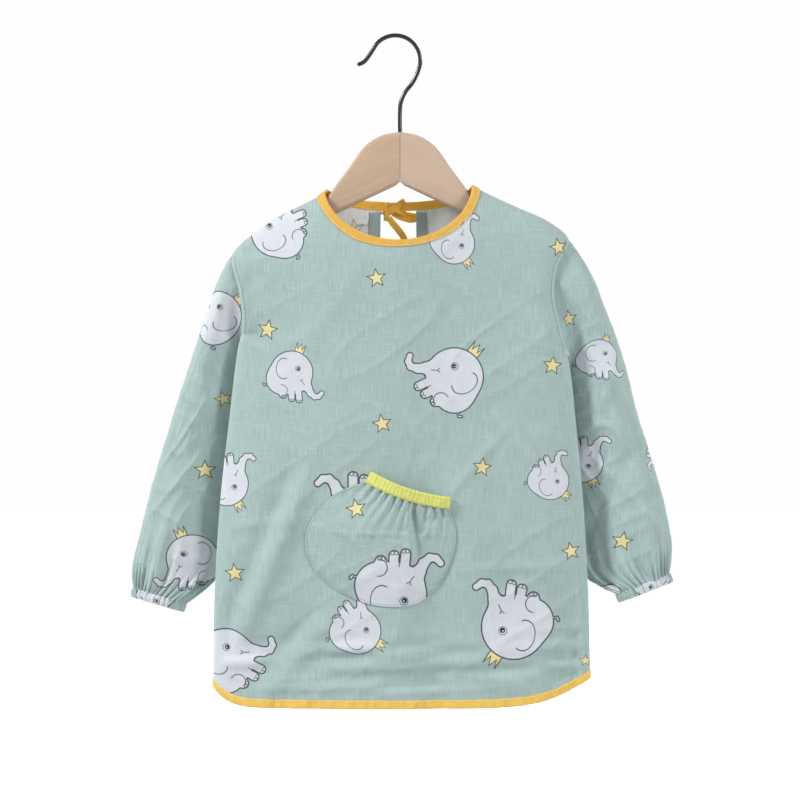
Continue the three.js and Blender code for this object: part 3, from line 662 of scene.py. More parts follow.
# ---------------------------------------------------------------- the tie's two tails, which hang free
def tape_tail(side):
    route = curve(TAIL[side])(np.linspace(0, 1, 400))
    line = resample(route, 170)
    run = np.linspace(0, 1, len(line))
    twist = 0.16 * np.sin(run * 5.0 + (1 if side == "left" else 0)) * smooth(0, 0.2, run)
    up = np.stack([np.sin(twist), np.cos(twist), 0 * run], 1)
    pinched = 1 - 0.1 * np.exp(-(run / 0.03) ** 2)
    ob = loft(f"tape_tail_{side}", swept(line, rounded(6, 1.5, 0.7), up, pinched), ORANGE_PAINTED_LIGHT)
    ride(ob, "smock", "yellow_binding", f"tie_tail_{side}")
    _, across, out = frames(line, up)
    rows = [(line + across * 2.1 + out * face * 0.72, out * face) for face in (1, -1)]
    seam = stitches(f"tape_tail_stitches_{side}", rows, THREAD_YELLOW)
    ride(seam, "smock", "yellow_binding")
    [c * MM for c in TAIL[side][0]]
    float(lengths(route)[-1]) * MM
    [[c * MM for c in p] for p in resample(route, 34)]


for side in ("left", "right"):
    tape_tail(side)

# ---------------------------------------------------------------- the body's surface
edge_at = {side: through(EDGE[side]) for side in EDGE}


def armhole_depth(side, z):
    top, bottom = ARMHOLE[side]
    along = (z - (top + bottom) / 2) / ((top - bottom) / 2)
    return ARMHOLE_OPEN * np.sqrt(np.maximum(1 - along * along, 0))


def halves(z):
    return (edge_at["right"](z) - edge_at["left"](z)) / 2, (edge_at["right"](z) + edge_at["left"](z)) / 2


def body_point(face, theta, z):
    theta, z = np.broadcast_arrays(theta, z)
    across = np.sin(theta)
    middle, half = halves(z)
    opened = np.minimum((-106 - z) / 115, 1)
    hole = np.where(across < 0, armhole_depth("left", z), armhole_depth("right", z))
    depth = DEPTH[face] * np.sqrt(np.maximum(1 - (1 - opened) ** 2, 0)) * np.cos(theta) + hole * across ** 8
    return np.stack([middle + half * across, FACE[face] * (GAP / 2 + depth), z], -1)


def unit(v):
    return v / np.maximum(np.linalg.norm(v, axis=-1, keepdims=True), 1e-9)


def body_normal(face, theta, z):
    across = body_point(face, theta + 0.002, z) - body_point(face, theta - 0.002, z)
    along = body_point(face, theta, z + 0.5) - body_point(face, theta, z - 0.5)
    return unit(np.cross(across, along) * -FACE[face])


def theta_of(x, z):
    middle, half = halves(z)
    return np.arcsin(np.clip((x - middle) / half, -1, 1))


FRONT_RIDGES = [  # height, start, end, half the width
    (4.6, (-84, -396), (-144, -545), 10), (-3.4, (-98, -392), (-158, -530), 9), (2.6, (-60, -520), (-118, -590), 9),
    (-2.0, (-76, -512), (-134, -580), 8), (1.7, (78, -188), (140, -240), 8), (-1.0, (70, -204), (128, -256), 9),
    (1.2, (118, -250), (150, -300), 7), (1.2, (-30, -196), (-96, -300), 10), (1.9, (98, -430), (150, -560), 10),
    (1.6, (36, -420), (92, -356), 5), (1.3, (60, -478), (152, -474), 5), (1.3, (-150, -440), (-84, -432), 6),
    (1.5, (50, -560), (112, -586), 8),
]
POCKET_RIDGES = [
    (3.0, (6, -421), (9.5, -464), 3.2), (-2.6, (11, -421), (15, -462), 3), (1.1, (-20, -418), (-38, -452), 4.5),
    (1.0, (26, -426), (38, -462), 4), (0.5, (-66, -444), (44, -447), 2.6),
]


def ridges(x, z, table):
    return sum(height * ridge(x, z, start, end, half) for height, start, end, half in table)


def from_side(x, z):
    """How far a place on the body is from its side."""
    return np.minimum(edge_at["right"](z) - x, edge_at["left"](z) + x)


def folds_front(x, z):
    """How far the front stands off its even shape: soft hanging folds, creases, and puckers over the hem."""
    low = smooth(-300, -560, z)
    up = z - HEM_Z - 22 * np.abs(x / 170) ** 8
    d = 2.6 * noise(x, z, 95, 120, 1) + (0.8 + 2.6 * low) * noise(x, z, 38, 190, 2, 6)
    d += 0.9 * crease(x, z, 90, 30, 3, 35, 5) * smooth(-190, -260, z) + 0.7 * crease(x, z, 80, 26, 4, -40, 5)
    d += ridges(x, z, FRONT_RIDGES) - 2.4 * np.exp(-((x + 138) ** 2 + (z + 224) ** 2) / 130)
    d += 2.4 * noise(x, z, 48, 9, 5, 3) * smooth(80, 45, up) * smooth(8, 20, up)
    d += 1.1 * noise(x, z, 4.2, 30, 6) * np.exp(-np.maximum(up, 0) / 14)
    d += 0.5 * crease(x, z, 16, 60, 7, 10, 4) * low + 0.35 * crease(x, z, 30, 12, 9, -24, 5)
    rim = np.hypot((x - NECK_X) / (NECK_HALF + 6), (z - NECK_Z) / (NECK_DROP["front"] + 6))
    d *= 0.35 + 0.65 * smooth(1.0, 1.35, rim)
    d += 0.22 * noise(x, z, 5, 9, 8) * smooth(1.3, 1.05, rim)
    return d * smooth(0, 16, from_side(x, z))


def folds_back(x, z):
    d = 1.6 * noise(x, z, 40, 260, 4, 4) + 1.0 * noise(x, z, 80, 90, 5) + 0.45 * crease(x, z, 70, 24, 6, 40)
    d += 0.7 * crease(x, z, 14, 120, 9, 3, 3) * smooth(-210, -160, z)
    d += 0.5 * noise(x, z, 3.6, 24, 7) * np.exp(-np.maximum(z - HEM_Z, 0) / 13)
    free = np.minimum(np.abs(x - BACK_EDGE["left"]), np.abs(x - BACK_EDGE["right"]))
    d *= smooth(0, 18, from_side(x, z)) * (0.25 + 0.75 * smooth(0, 30, free))
    return d * (0.3 + 0.7 * smooth(-150, -175, z))


FOLDS = {"front": folds_front, "back": folds_back}


class Panel:
    """A part of the body between two edges; q runs from 0 to 1 across it."""

    def __init__(self, face, start, end):
        self.face, self.start, self.end = face, start, end

    def theta(self, q, z):
        return self.start(z) + q * (self.end(z) - self.start(z))

    def plain(self, q, z):
        return body_point(self.face, self.theta(q, z), z)

    def normal(self, q, z):
        return body_normal(self.face, self.theta(q, z), z)

    def at(self, q, z, off=0.0):
        p, n = self.plain(q, z), self.normal(q, z)
        return p + n * (FOLDS[self.face](p[..., 0], z) + off)[..., None]

    def top(self, q):
        q = np.asarray(q, float)
        drop = NECK_DROP[self.face]
        out, within = np.full(q.shape, NECK_Z - drop - 20.0), np.full(q.shape, float(NECK_Z))
        for _ in range(36):
            z = (out + within) / 2
            x = self.plain(q, z)[..., 0]
            past = ((x - NECK_X) / NECK_HALF) ** 2 + ((z - NECK_Z) / drop) ** 2 > 1
            out, within = np.where(past, z, out), np.where(past, within, z)
        return (out + within) / 2

    def hem(self, q):
        across = np.sin(self.theta(np.asarray(q, float), HEM_Z))
        left, right = (HEM_RISE[s] * np.abs(across) ** HEM_RISE_POWER[s] for s in ("left", "right"))
        return HEM_Z + np.where(across < 0, left, right)

    def inward(self, q, edge, inch, off=0.0):
        """The point so far in from an edge, and off the surface."""
        start, way = (self.top(q), -1) if edge == "top" else (self.hem(q), 1)
        speed = np.linalg.norm(self.plain(q, start + 1) - self.plain(q, start - 1), axis=-1) / 2
        z = start + way * inch / speed
        return self.at(q, z, off)


quarter = math.pi / 2
level = lambda angle: lambda z: np.full(np.shape(z), angle)


def back_edge(side, inset=0.0):
    def theta(z):
        spread = BACK_SPREAD * np.clip((z - NECK_Z) / (HEM_Z - NECK_Z), 0, 1)
        return theta_of(BACK_EDGE[side] + SIGN[side] * (spread + inset), z)
    return theta


PANELS = {
    "front": Panel("front", level(-quarter), level(quarter)),
    "left": Panel("back", level(-quarter), back_edge("left")),
    "right": Panel("back", back_edge("right"), level(quarter)),
}

# ---------------------------------------------------------------- the print: x, z, size, turn, and -1 where mirrored
FRONT_PRINT = {
    "Beast": [(-109, -176, 31, 108), (-99, -303, 27, 0), (48, -308, 36, -59, -1), (47, -185, 25, -165, -1),
              (-40, -532, 28.5, -141, -1), (105, -527, 40.5, 167), (133, -398, 23, -153, -1), (-32, -429, 40.5, 175),
              (-157, -400, 27, -170, -1), (-156, -560, 36, 56)],
    "Star": [(-21, -217, 8.5, 8), (-119, -263, 9, -12), (-16, -347, 8.5, 10), (73.5, -386, 8.5, -8),
             (-148, -481, 8.5, 5), (142, -189, 8, 14), (136, -295, 8.5, -6), (153.5, -461.5, 8, 12), (167, -560, 5, 0)],
}
POCKET_PRINT = {"Beast": [(-8, -497, 41, 180, -1)], "Star": [(-39, -423, 9, 12)]}
CUFF_PRINT = {"Beast": [(40, -6, 20, 20), (78, 2, 22, 150, -1)], "Star": [(12, -3, 6, 0)]}
BACK_PRINT = {
    "Beast": [(-95, -232, 30, 20), (92, -262, 36, -120, -1), (-70, -372, 38, 150), (70, -402, 27, 0, -1),
              (-122, -498, 27, -60), (118, -520, 38, 165, -1), (-62, -560, 26, 30, -1), (148, -340, 24, 80),
              (-34, -188, 26, 0), (70, -196, 24, 30, -1)],
    "Star": [(-41, -171, 9, 10), (44, -200, 8, -8), (-140, -300, 8.5, 0), (-30, -300, 8, 12), (40, -330, 8.5, 20),
             (-130, -420, 8, 5), (140, -440, 8.5, -14), (50, -490, 8, 8), (55, -575, 8, 0)],
}
SLEEVE_PRINT = {
    "left": {"Beast": [(-166, -252, 30, -75, -1), (-188, -470, 29, 0, -1), (-262, -360, 28, 140),
                       (-280, -470, 30, 60, -1)],
             "Star": [(-162, -325, 7, 15), (-178, -389, 8.5, 0), (-236, -300, 8, 10), (-292, -410, 8, 0)]},
    "right": {"Beast": [(178, -288, 21, 0), (166, -382, 24, -170, -1), (238, -372, 16, -95), (186, -510, 22, 90, -1),
                        (268, -330, 27, 150, -1), (300, -450, 28, 20)],
              "Star": [(152.5, -253, 7.5, 10), (201.5, -453, 8.5, -10), (262, -430, 8, 8)]},
}


def panel_cloth(name, shape, q, rows, prints):
    q = np.asarray(q)[:, None]
    s = np.linspace(0, 1, rows + 1)[None, :] ** 1.12
    top, hem = shape.top(q), shape.hem(q)
    q, z = np.broadcast_arrays(q, top + (hem - top) * s)
    uv = np.stack([shape.plain(q, z)[..., 0], z], -1)
    return cloth(name, shape.at(q, z, CLOTH / 2), shape.at(q, z, -CLOTH / 2), uv, FACES, prints=prints)


s = np.linspace(-1, 1, 191)
front_q = (0.5 * (np.arcsin(s) + s * quarter) + quarter) / math.pi
front = panel_cloth("cloth_front", PANELS["front"], front_q, 230, FRONT_PRINT)
ride(front, "smock", "mint_cotton", "front_panel")
backs = {}
for side in ("left", "right"):
    backs[side] = panel_cloth(f"cloth_back_{side}", PANELS[side], np.linspace(0, 1, 96), 220, BACK_PRINT)
    ride(backs[side], "smock", "mint_cotton", f"back_panel_{side}")


# ---------------------------------------------------------------- bindings folded over the edges
def fold_section():
    """(inward, off): once round a strip of binding that holds the cloth's edge."""
    covered, slot = BINDING_WIDTH - 1.0, 0.45
    out = [(1, slot), (1, 0.92), (1 - 0.5 / covered, 1), (0.72, 1.08), (0.45, 1.12), (0.2, 1.1), (-0.1 / covered, 1)]
    half = [(covered * a, b) for a, b in out] + [(-math.sin(a), math.cos(a)) for a in np.linspace(0.35, quarter, 4)]
    other = [(a, -b) for a, b in half[::-1]][1:]
    return half + other + [(covered * 0.5, -slot), (0.1, -slot), (-0.2, 0), (0.1, slot), (covered * 0.5, slot)]


def tie_stations(side, n):
    """Stations along a back panel's neck edge, which run on past its free edge to the knot."""
    shape, free = PANELS[side], 1.0 if side == "left" else 0.0
    z = float(shape.top(np.array(free)))
    edge, knot = float(back_edge(side)(z)), float(theta_of(BACK_EDGE[side] - SIGN[side] * TIE_REACH[side], z))
    reach = (knot - edge) / (quarter - SIGN[side] * edge)
    return np.linspace(*sorted((free + reach, 1 - free)), n)


def binding(name, shape, edge, q, material, node, seed):
    run = lengths(shape.inward(q, edge, 3.0))
    loops = []
    for inward, off in fold_section():
        wavy = 0.25 * noise(run, 0 * run, 9, 1, seed) if inward > 5 else 0.12 * noise(run, 0 * run, 14, 1, seed + 1)
        pucker = 0.16 * noise(run, 0 * run + off, 2.6, 1, seed + 2) * (1 if 2 < inward < 7.5 else 0.4)
        loops.append(shape.inward(q, edge, inward + wavy, off + math.copysign(1, off) * pucker if off else 0.0))
    ob = loft(name, np.stack(loops, 1), material, along=run)
    ride(ob, "smock", "yellow_binding", node)
    normal = shape.normal(q, shape.top(q) if edge == "top" else shape.hem(q))
    rows = [(shape.inward(q, edge, 5.9, face * 1.1), normal * face) for face in (1, -1)]
    seam = stitches(name + "_stitches", rows, THREAD_YELLOW, thick=0.6)
    ride(seam, "smock", "yellow_binding")
    return [ob, seam]


even = lambda n: np.linspace(0, 1, n)
on_front = binding("neck_tape_front", PANELS["front"], "top", even(220), YELLOW, "neck_binding_front", 1)
on_front += binding("hem_tape_front", PANELS["front"], "hem", front_q, HEM, "hem_binding_front", 3)
on_back = {}
for side in ("left", "right"):
    on_back[side] = binding(f"neck_tape_back_{side}", PANELS[side], "top", tie_stations(side, 100), ORANGE_PAINTED_LIGHT,
                            f"neck_binding_back_{side}", 5)
    on_back[side] += binding(f"hem_tape_back_{side}", PANELS[side], "hem", even(110), HEM,
                             f"hem_binding_back_{side}", 7)

# ---------------------------------------------------------------- turned-in strips along the back's free edges
for side in ("left", "right"):
    strip = Panel("back", back_edge(side), back_edge(side, 10))
    down = np.linspace(float(strip.top(np.zeros(1))[0]) - 8.5, HEM_Z + 8.5, 150)
    q, z = np.meshgrid(np.linspace(0, 1, 9), down, indexing="ij")
    under = CLOTH / 2 + 0.15
    far = strip.at(q, z, -under - 0.55 + 0.12 * noise(q * 10, z, 4, 6, 3))
    uv = np.stack([strip.plain(q, z)[..., 0], z], -1)
    ob = cloth(f"placket_{side}", strip.at(q, z, -under), far, uv, [COTTON_PLAIN, COTTON_PLAIN])
    ride(ob, "smock", "mint_cotton", f"back_facing_{side}")
    z = np.linspace(down[-1], down[0], 300)
    q = np.full(z.shape, 0.82)
    rows = [(strip.at(q, z, off), strip.normal(q, z) * math.copysign(1, off))
            for off in (CLOTH / 2 + 0.05, -under - 0.62)]
    seam = stitches(f"placket_stitches_{side}", rows, THREAD_SAGE)
    ride(seam, "smock", "mint_cotton")
    on_back[side] += [ob, seam]
    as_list(on_back[side])


# ---------------------------------------------------------------- sleeves
PLEATS = 36
CUFF_DEEP = 8.2


def sleeve_sections(side, phi):
    """Loops from the armhole to the cuff; phi is 0 at the outer fold and 90 degrees at the front."""
    outer, inner = (curve([(x, y, z) for (x, z), y in zip(line, SLEEVE_BEHIND)]) for line in SLEEVE[side])
    depth = through([(i / 6, d) for i, d in enumerate(SLEEVE_DEPTH)])
    top, bottom = ARMHOLE[side]
    loops = []
    for tuck in (-2.6, 0.6):
        z = (top + bottom) / 2 + ((top - bottom) / 2 - 0.9) * np.cos(phi)
        loops.append(np.stack([SIGN[side] * (edge_at[side](z) + tuck), -(ARMHOLE_OPEN - 0.9) * np.sin(phi), z], -1))
    for t in np.linspace(0, 1, 11):
        a, b = inner(t), outer(t)
        p = (a + b) / 2 + (b - a) / 2 * np.cos(phi)[:, None]
        p[:, 1] -= float(depth(t)) * np.sin(phi)
        loops.append(p)
    return np.array(loops)


def ring_normals(p):
    n = unit(np.cross(np.roll(p, -1, 1) - np.roll(p, 1, 1), np.gradient(p, axis=0)))
    return n * np.sign(((p - p.mean(1, keepdims=True)) * n).sum(-1, keepdims=True).mean())


def unrolled(side, p):
    """Its place on the flat cloth: x at the middle of the front, and from there the way round the arm."""
    closed = np.concatenate([p, p[:, :1]], 1)
    step = np.hypot(np.diff(closed[..., 0], axis=1), np.diff(closed[..., 1], axis=1))
    run = np.concatenate([np.zeros((len(p), 1)), np.cumsum(step, 1)], 1)
    front = 3 * p.shape[1] // 4
    u = closed[:, front, 0][:, None] - SIGN[side] * (run - run[:, front][:, None])
    return np.stack([u, closed[..., 2]], -1)


def round_arm(phi, radius, wide, seed):
    """Noise that closes on itself round the arm."""
    return noise(np.cos(phi) * radius, np.sin(phi) * radius, wide, wide, seed)


def gathers(phi):
    """Uneven gathers round the cuff."""
    pleat = np.abs(np.cos((phi * PLEATS + 2.2 * round_arm(phi, 30, 14, 3)) / 2)) ** 0.7
    return (2 * pleat - 1) * (0.75 + 0.5 * round_arm(phi, 30, 9, 4))


def sleeve_folds(side, phi, s, u, z):
    """How far a sleeve stands off its even shape; s is 0 at the armhole and 1 at the cuff."""
    k = -SIGN[side]
    outer, inner = SLEEVE[side]
    fade = smooth(0.02, 0.2, s)
    calm = 0.25 + 0.75 * smooth(1.0, 0.7, np.cos(phi))
    # folds run from the shoulder down the arm, and cross it at the elbow
    d = 2.6 * noise(np.cos(phi) * 40 + 0 * s, s * 300 + np.sin(phi) * 40, 26, 130, 2 + k) * fade
    d += (2.0 * crease(u, z, 95, 22, 5, 52 * k, 4) + 1.4 * crease(u, z, 60, 17, 8, -28 * k, 4)
          + 0.8 * crease(u, z, 34, 11, 9 + k, 66 * k, 4)) * fade * calm
    d += (2.2 * ridge(u, z, outer[1], inner[3], 7) - 2.0 * ridge(u, z + 14, outer[2], inner[4], 6)) * calm
    grow = smooth(0.7, 1.0, s)
    d = d * (1 - 0.6 * grow) + 1.9 * grow ** 1.6 * gathers(phi)
    d += 2.6 * round_arm(phi, 30, 7, 4) * smooth(0.62, 0.86, s) * smooth(1.02, 0.9, s)
    # small puckers at the seam with the body
    d += 0.35 * round_arm(phi, 40, 5, 7) * smooth(0.16, 0.05, s)
    return d * smooth(0.0, 0.06, s)


def sleeve_cloth(side, phi):
    s = np.linspace(0, 1, 190)
    loops = sleeve_sections(side, phi)
    p = curve(loops.reshape(len(loops), -1))(s).reshape(len(s), len(phi), 3)
    n, uv = ring_normals(p), unrolled(side, p)
    s = s[:, None]
    d = sleeve_folds(side, phi, s, uv[:, :-1, 0], uv[:, :-1, 1])[..., None] + 0.1
    # the inner side hangs back behind the body, and a little under it
    along_arm = smooth(0.03, 0.24, s) * smooth(1.0, 0.8, s)
    tuck, swell = smooth(0.4, -0.95, np.cos(phi)) * along_arm, smooth(-0.5, 0.7, np.cos(phi)) * along_arm
    p = p + tuck[..., None] * np.array([-5.0 * SIGN[side], 13.0, 0]) - swell[..., None] * np.array([0, 4.5, 0])
    return cloth(f"sleeve_cloth_{side}", p + n * d, p + n * (d - CLOTH), uv, FACES, True, SLEEVE_PRINT[side])


def cuff(side, phi):
    """The casing gathered round the wrist, the elastic inside it, and the stitching round its edge."""
    loop = sleeve_sections(side, phi)[-1]
    outer, inner = sleeve_sections(side, np.array([0, math.pi]))[-1]
    across = unit(outer - inner)
    down = np.array([across[2], 0, -across[0]]) * SIGN[side]
    out = unit(loop - loop.mean(0))
    rows = np.linspace(0, 1, 26)
    wave, fine = gathers(phi), round_arm(phi, 60, 6, 9)
    outside, within = [], []
    for r in rows:
        swell = 0.9 * math.sin(math.pi * min(r * 1.02, 1)) ** 0.7
        shirr = -0.35 * (math.exp(-((r - 0.3) / 0.05) ** 2) + math.exp(-((r - 0.75) / 0.05) ** 2))
        proud = 0.35 + swell + shirr + wave * (1.5 - 0.4 * math.sin(math.pi * r)) + 0.4 * fine
        at = loop + down * (-0.7 + CUFF_DEEP * r + 0.35 * wave[:, None] * (r - 0.5))
        outside.append(at + out * proud[:, None])
        within.append(at + out * (proud - 0.8)[:, None])
    run = lengths(np.vstack([loop, loop[:1]]))
    uv = np.stack(np.broadcast_arrays(run[None, :], -CUFF_DEEP * rows[:, None]), -1)
    casing = cloth(f"cuff_gathers_{side}", np.array(outside), np.array(within), uv, FACES, True, CUFF_PRINT)
    corners = ((1.0, -1.1), (6.0, -1.1), (6.0, -2.0), (1.0, -2.0))
    points = np.concatenate([loop + down * drop + out * off for drop, off in corners])
    faces = grid(5, len(phi), True)[0] % len(points)
    if volume(points, faces) < 0:
        faces = faces[:, ::-1]
    places = np.stack(np.broadcast_arrays(run[None, :-1], np.array([0, 5, 6, 11.0])[:, None]), -1).reshape(-1, 2)
    flat = (places * MM)[faces].reshape(-1, 2)
    band = make(f"cuff_elastic_band_{side}", points, [faces], [ELASTIC], None, {"Cloth": flat})
    edge = loop + down * 0.9 + out * (0.75 + wave * 0.9)[:, None]
    closed = lambda a: np.vstack([a, a[:1]])
    sew = stitches(f"cuff_stitches_{side}", [(closed(edge), closed(out))], THREAD_SAGE, 1.9, 0.6, 0.36)
    body = f"sleeve_{side}"
    ride(casing, body, "mint_cotton", f"cuff_{side}")
    ride(band, body, "white_elastic", f"cuff_elastic_{side}")
    ride(sew, body, "mint_cotton")


def sleeve(side):
    phi = -math.pi + 2 * math.pi * np.arange(216) / 216
    ob = sleeve_cloth(side, phi)
    cuff(side, phi)
    # a line from the top of the armhole seam, out and down past the armpit, is worked out here; nothing uses it
    top, bottom = ARMHOLE[side]
    seam_at = lambda z: np.array([SIGN[side] * float(edge_at[side](z)), 0, z])
    pivot = seam_at(top) + np.array([0, 0, 3])
    way = np.array([0.8 * SIGN[side], 0, -0.6])
    first = float((seam_at(bottom) - pivot) @ way) + 1
    tuple((pivot + way * first) * MM)
    tuple((pivot + way * (first + 95)) * MM)
    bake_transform(ob)
    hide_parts(f"sleeve_{side}")
    # a narrow roll where sleeve and body are joined
    a = np.linspace(0, 2 * math.pi, 160)
    z = (top + bottom) / 2 + (top - bottom) / 2 * np.cos(a)
    path = np.stack([SIGN[side] * (edge_at[side](z) + 0.1), -(ARMHOLE_OPEN + 0.1) * np.sin(a), z], -1)
    roll = loft(f"armhole_seam_{side}", swept(path, rounded(1.5, 1.1, 0.5), (SIGN[side], 0, 0)), COTTON_PLAIN)
    ride(roll, "smock", "mint_cotton")


for side in ("left", "right"):
    sleeve(side)
rows = []
for side in ("left", "right"):
    for face in ("front", "back"):
        top, bottom = ARMHOLE[side]
        z = np.linspace(top - 2, bottom + 2, 120)
        x = SIGN[side] * (edge_at[side](z) - 2.6)
        theta = theta_of(x, z)
        n = body_normal(face, theta, z)
        rows.append((body_point(face, theta, z) + n * (FOLDS[face](x, z) + CLOTH / 2 + 0.05)[:, None], n))
armhole_sewing = stitches("armhole_stitches", rows, THREAD_DARK)
ride(armhole_sewing, "smock", "mint_cotton")


# ---------------------------------------------------------------- pocket
def bezier(a, b, c, t):
    t = np.asarray(t)[:, None]
    return np.array(a) * (1 - t) ** 2 + 2 * np.array(b) * t * (1 - t) + np.array(c) * t * t


MOUTH = (np.array(POCKET_OUTLINE[-1], float), np.array(POCKET_OUTLINE[0], float))
MOUTH_LOW = (MOUTH[0] + MOUTH[1]) / 2 - np.array([0, 2 * MOUTH_SAG])
mouth_at = lambda t: bezier(MOUTH[0], MOUTH_LOW, MOUTH[1], t)
mouth_lift = lambda t: MOUTH_STANDS * np.sin(np.pi * np.clip(t, 0, 1)) ** 0.7


def spline(points, t):
    """Uniform Catmull-Rom through flat points, with both ends repeated."""
    p = np.array(points, float)
    s = np.clip(np.asarray(t, float), 0, 1) * (len(p) - 1)
    i = np.minimum(s.astype(int), len(p) - 2)
    w = (s - i)[:, None]
    a, b, c, d = p[np.maximum(i - 1, 0)], p[i], p[i + 1], p[np.minimum(i + 2, len(p) - 1)]
    v0, v1 = (c - a) / 2, (d - b) / 2
    return (2 * b - 2 * c + v0 + v1) * w ** 3 + (-3 * b + 3 * c - 2 * v0 - v1) * w ** 2 + v0 * w + b


def off_front(x, z, proud):
    theta = theta_of(x, z)
    p, n = body_point("front", theta, z), body_normal("front", theta, z)
    return p + n * (folds_front(x, z) + CLOTH / 2 + np.asarray(proud))[..., None]


def pocket_folds(x, z, out):
    """Gathers that fall from the drawn-up mouth and die away down the pocket."""
    a, b = MOUTH
    run = b - a
    t = ((x - a[0]) * run[0] + (z - a[1]) * run[1]) / (run @ run)
    below = ((z - a[1]) * run[0] - (x - a[0]) * run[1]) / -math.sqrt(run @ run) - 4 * np.sin(np.pi * np.clip(t, 0, 1))
    down = np.maximum(below, 0)
    spread = t - 0.5
    fan = spread / (1 + 0.011 * down) * 75
    pleat = np.cos(fan * 2 * np.pi / 6.6 + 1.6 * noise(fan, below, 12, 30, 4))
    d = 1.7 * pleat * np.exp(-down / 17) * smooth(0.75, 0.4, np.abs(spread))
    d += 0.9 * noise(fan, below, 5.5, 60, 5) * np.exp(-down / 34) + ridges(x, z, POCKET_RIDGES)
    d += 0.7 * noise(x, z, 24, 24, 6) + 0.4 * crease(x, z, 40, 15, 7, 25)
    return d + 0.4 * noise(x, z, 3.2, 3.2, 8) * smooth(0.8, 0.97, out)


mouth_t, side_t = np.linspace(0, 1, 76), np.linspace(0, 1, 170)[1:-1]
rim = np.vstack([mouth_at(mouth_t), spline(POCKET_OUTLINE, side_t)])
lift = np.concatenate([mouth_lift(mouth_t), 0 * side_t])
out = np.concatenate([[0.0004], np.linspace(0.03, 1, 62)])[:, None]
px, pz = (middle + (rim[None, :, k] - middle) * out for k, middle in enumerate(POCKET_MIDDLE))
proud = (POCKET_BULGE + MOUTH_STANDS * 0.45) * (1 - out ** 2.4) + lift * out ** 2
settle = 1 - np.concatenate([0 * mouth_t, 1 + 0 * side_t]) * smooth(0.86, 1.0, out)
proud = proud + pocket_folds(px, pz, out) * settle + 0.25
uv = np.stack([px, pz], -1)
outside, within = off_front(px, pz, np.maximum(proud + 0.9, 1.0)), off_front(px, pz, np.maximum(proud, 0.05))
pocket = cloth("pocket_cloth", outside, within, np.concatenate([uv, uv[:, :1]], 1), FACES, True, POCKET_PRINT)
ride(pocket, "smock", "mint_cotton", "pocket")


def along_mouth(section, n, ripple=0.0):
    """Loops of a section (up, out) carried along the pocket's mouth, which is rippled by its elastic."""
    t = np.linspace(0, 1, n)
    p = mouth_at(t)
    way = unit(np.gradient(p, axis=0))
    run = lengths(p)
    loops = []
    for up, far in section:
        beat = 0.6 * np.cos(run * 2 * np.pi / 3.7 + 1.5 * noise(run, 0 * run, 9, 1, 4))
        wave = ripple * (beat + 0.7 * noise(run, 0 * run + up, 2.4, 5, 5))
        rise = up + 0.35 * ripple * noise(run, 0 * run + up, 5, 4, 6)
        x, z = p[:, 0] - way[:, 1] * rise, p[:, 1] + way[:, 0] * rise
        loops.append(off_front(x, z, mouth_lift(t) + far + wave * (1 if far > 1.2 else 0.25)))
    return np.stack(loops, 1), run


RIPPLE = 0.35
MOUTH_TAPE = [(0, 0.2), (0, 2.6), (0.5, 3.0), (2.5, 3.25), (4.2, 3.0), (5.4, 3.15), (7.2, 3.25), (8.6, 3.0), (9.8, 2.9),
              (10.6, 2.4), (10.9, 1.6), (10.6, 0.8), (9.8, 0.3), (5, 0.1)]
loops, run = along_mouth(MOUTH_TAPE, 170, RIPPLE)
mouth_tape = loft("pocket_tape", loops, LIME, along=run)
ride(mouth_tape, "smock", "lime_binding", "pocket_binding")
loops, run = along_mouth([(2.5, 1.1), (2.5, 2.1), (7.5, 2.1), (7.5, 1.1)], 60)
inner_elastic = loft("pocket_elastic_band", loops, ELASTIC, along=run)
ride(inner_elastic, "smock", "white_elastic", "pocket_elastic")
rows = [(along_mouth([(up, 3.35)], 170, RIPPLE)[0][:, 0], (0, -1, 0)) for up in (1.7, 8.7)]
seam = stitches("pocket_tape_stitches", rows, THREAD_LIME, 1.7, 0.5, 0.4)
ride(seam, "smock", "lime_binding")
inset = spline(POCKET_OUTLINE, np.linspace(0, 1, 400))
inset = inset + unit(np.array(POCKET_MIDDLE) - inset) * 1.8
hold = stitches("pocket_stitches", [(off_front(inset[:, 0], inset[:, 1], 1.5), (0, -1, 0))], THREAD_DARK)
ride(hold, "smock", "mint_cotton")


# ---------------------------------------------------------------- the knot and its loop
KNOT = np.array([-5.7, 22.4, -152.4])
KNOT_BANDS = [  # shift across, shift up, turn, half its length, half its depth, width
    (-5.6, -3.4, 80, 7.2, 5.0, 5.0),
    (1.2, -0.4, -26, 9.2, 5.2, 6.0),
    (0.6, 0.4, 33, 11.2, 6.0, 6.2),
]


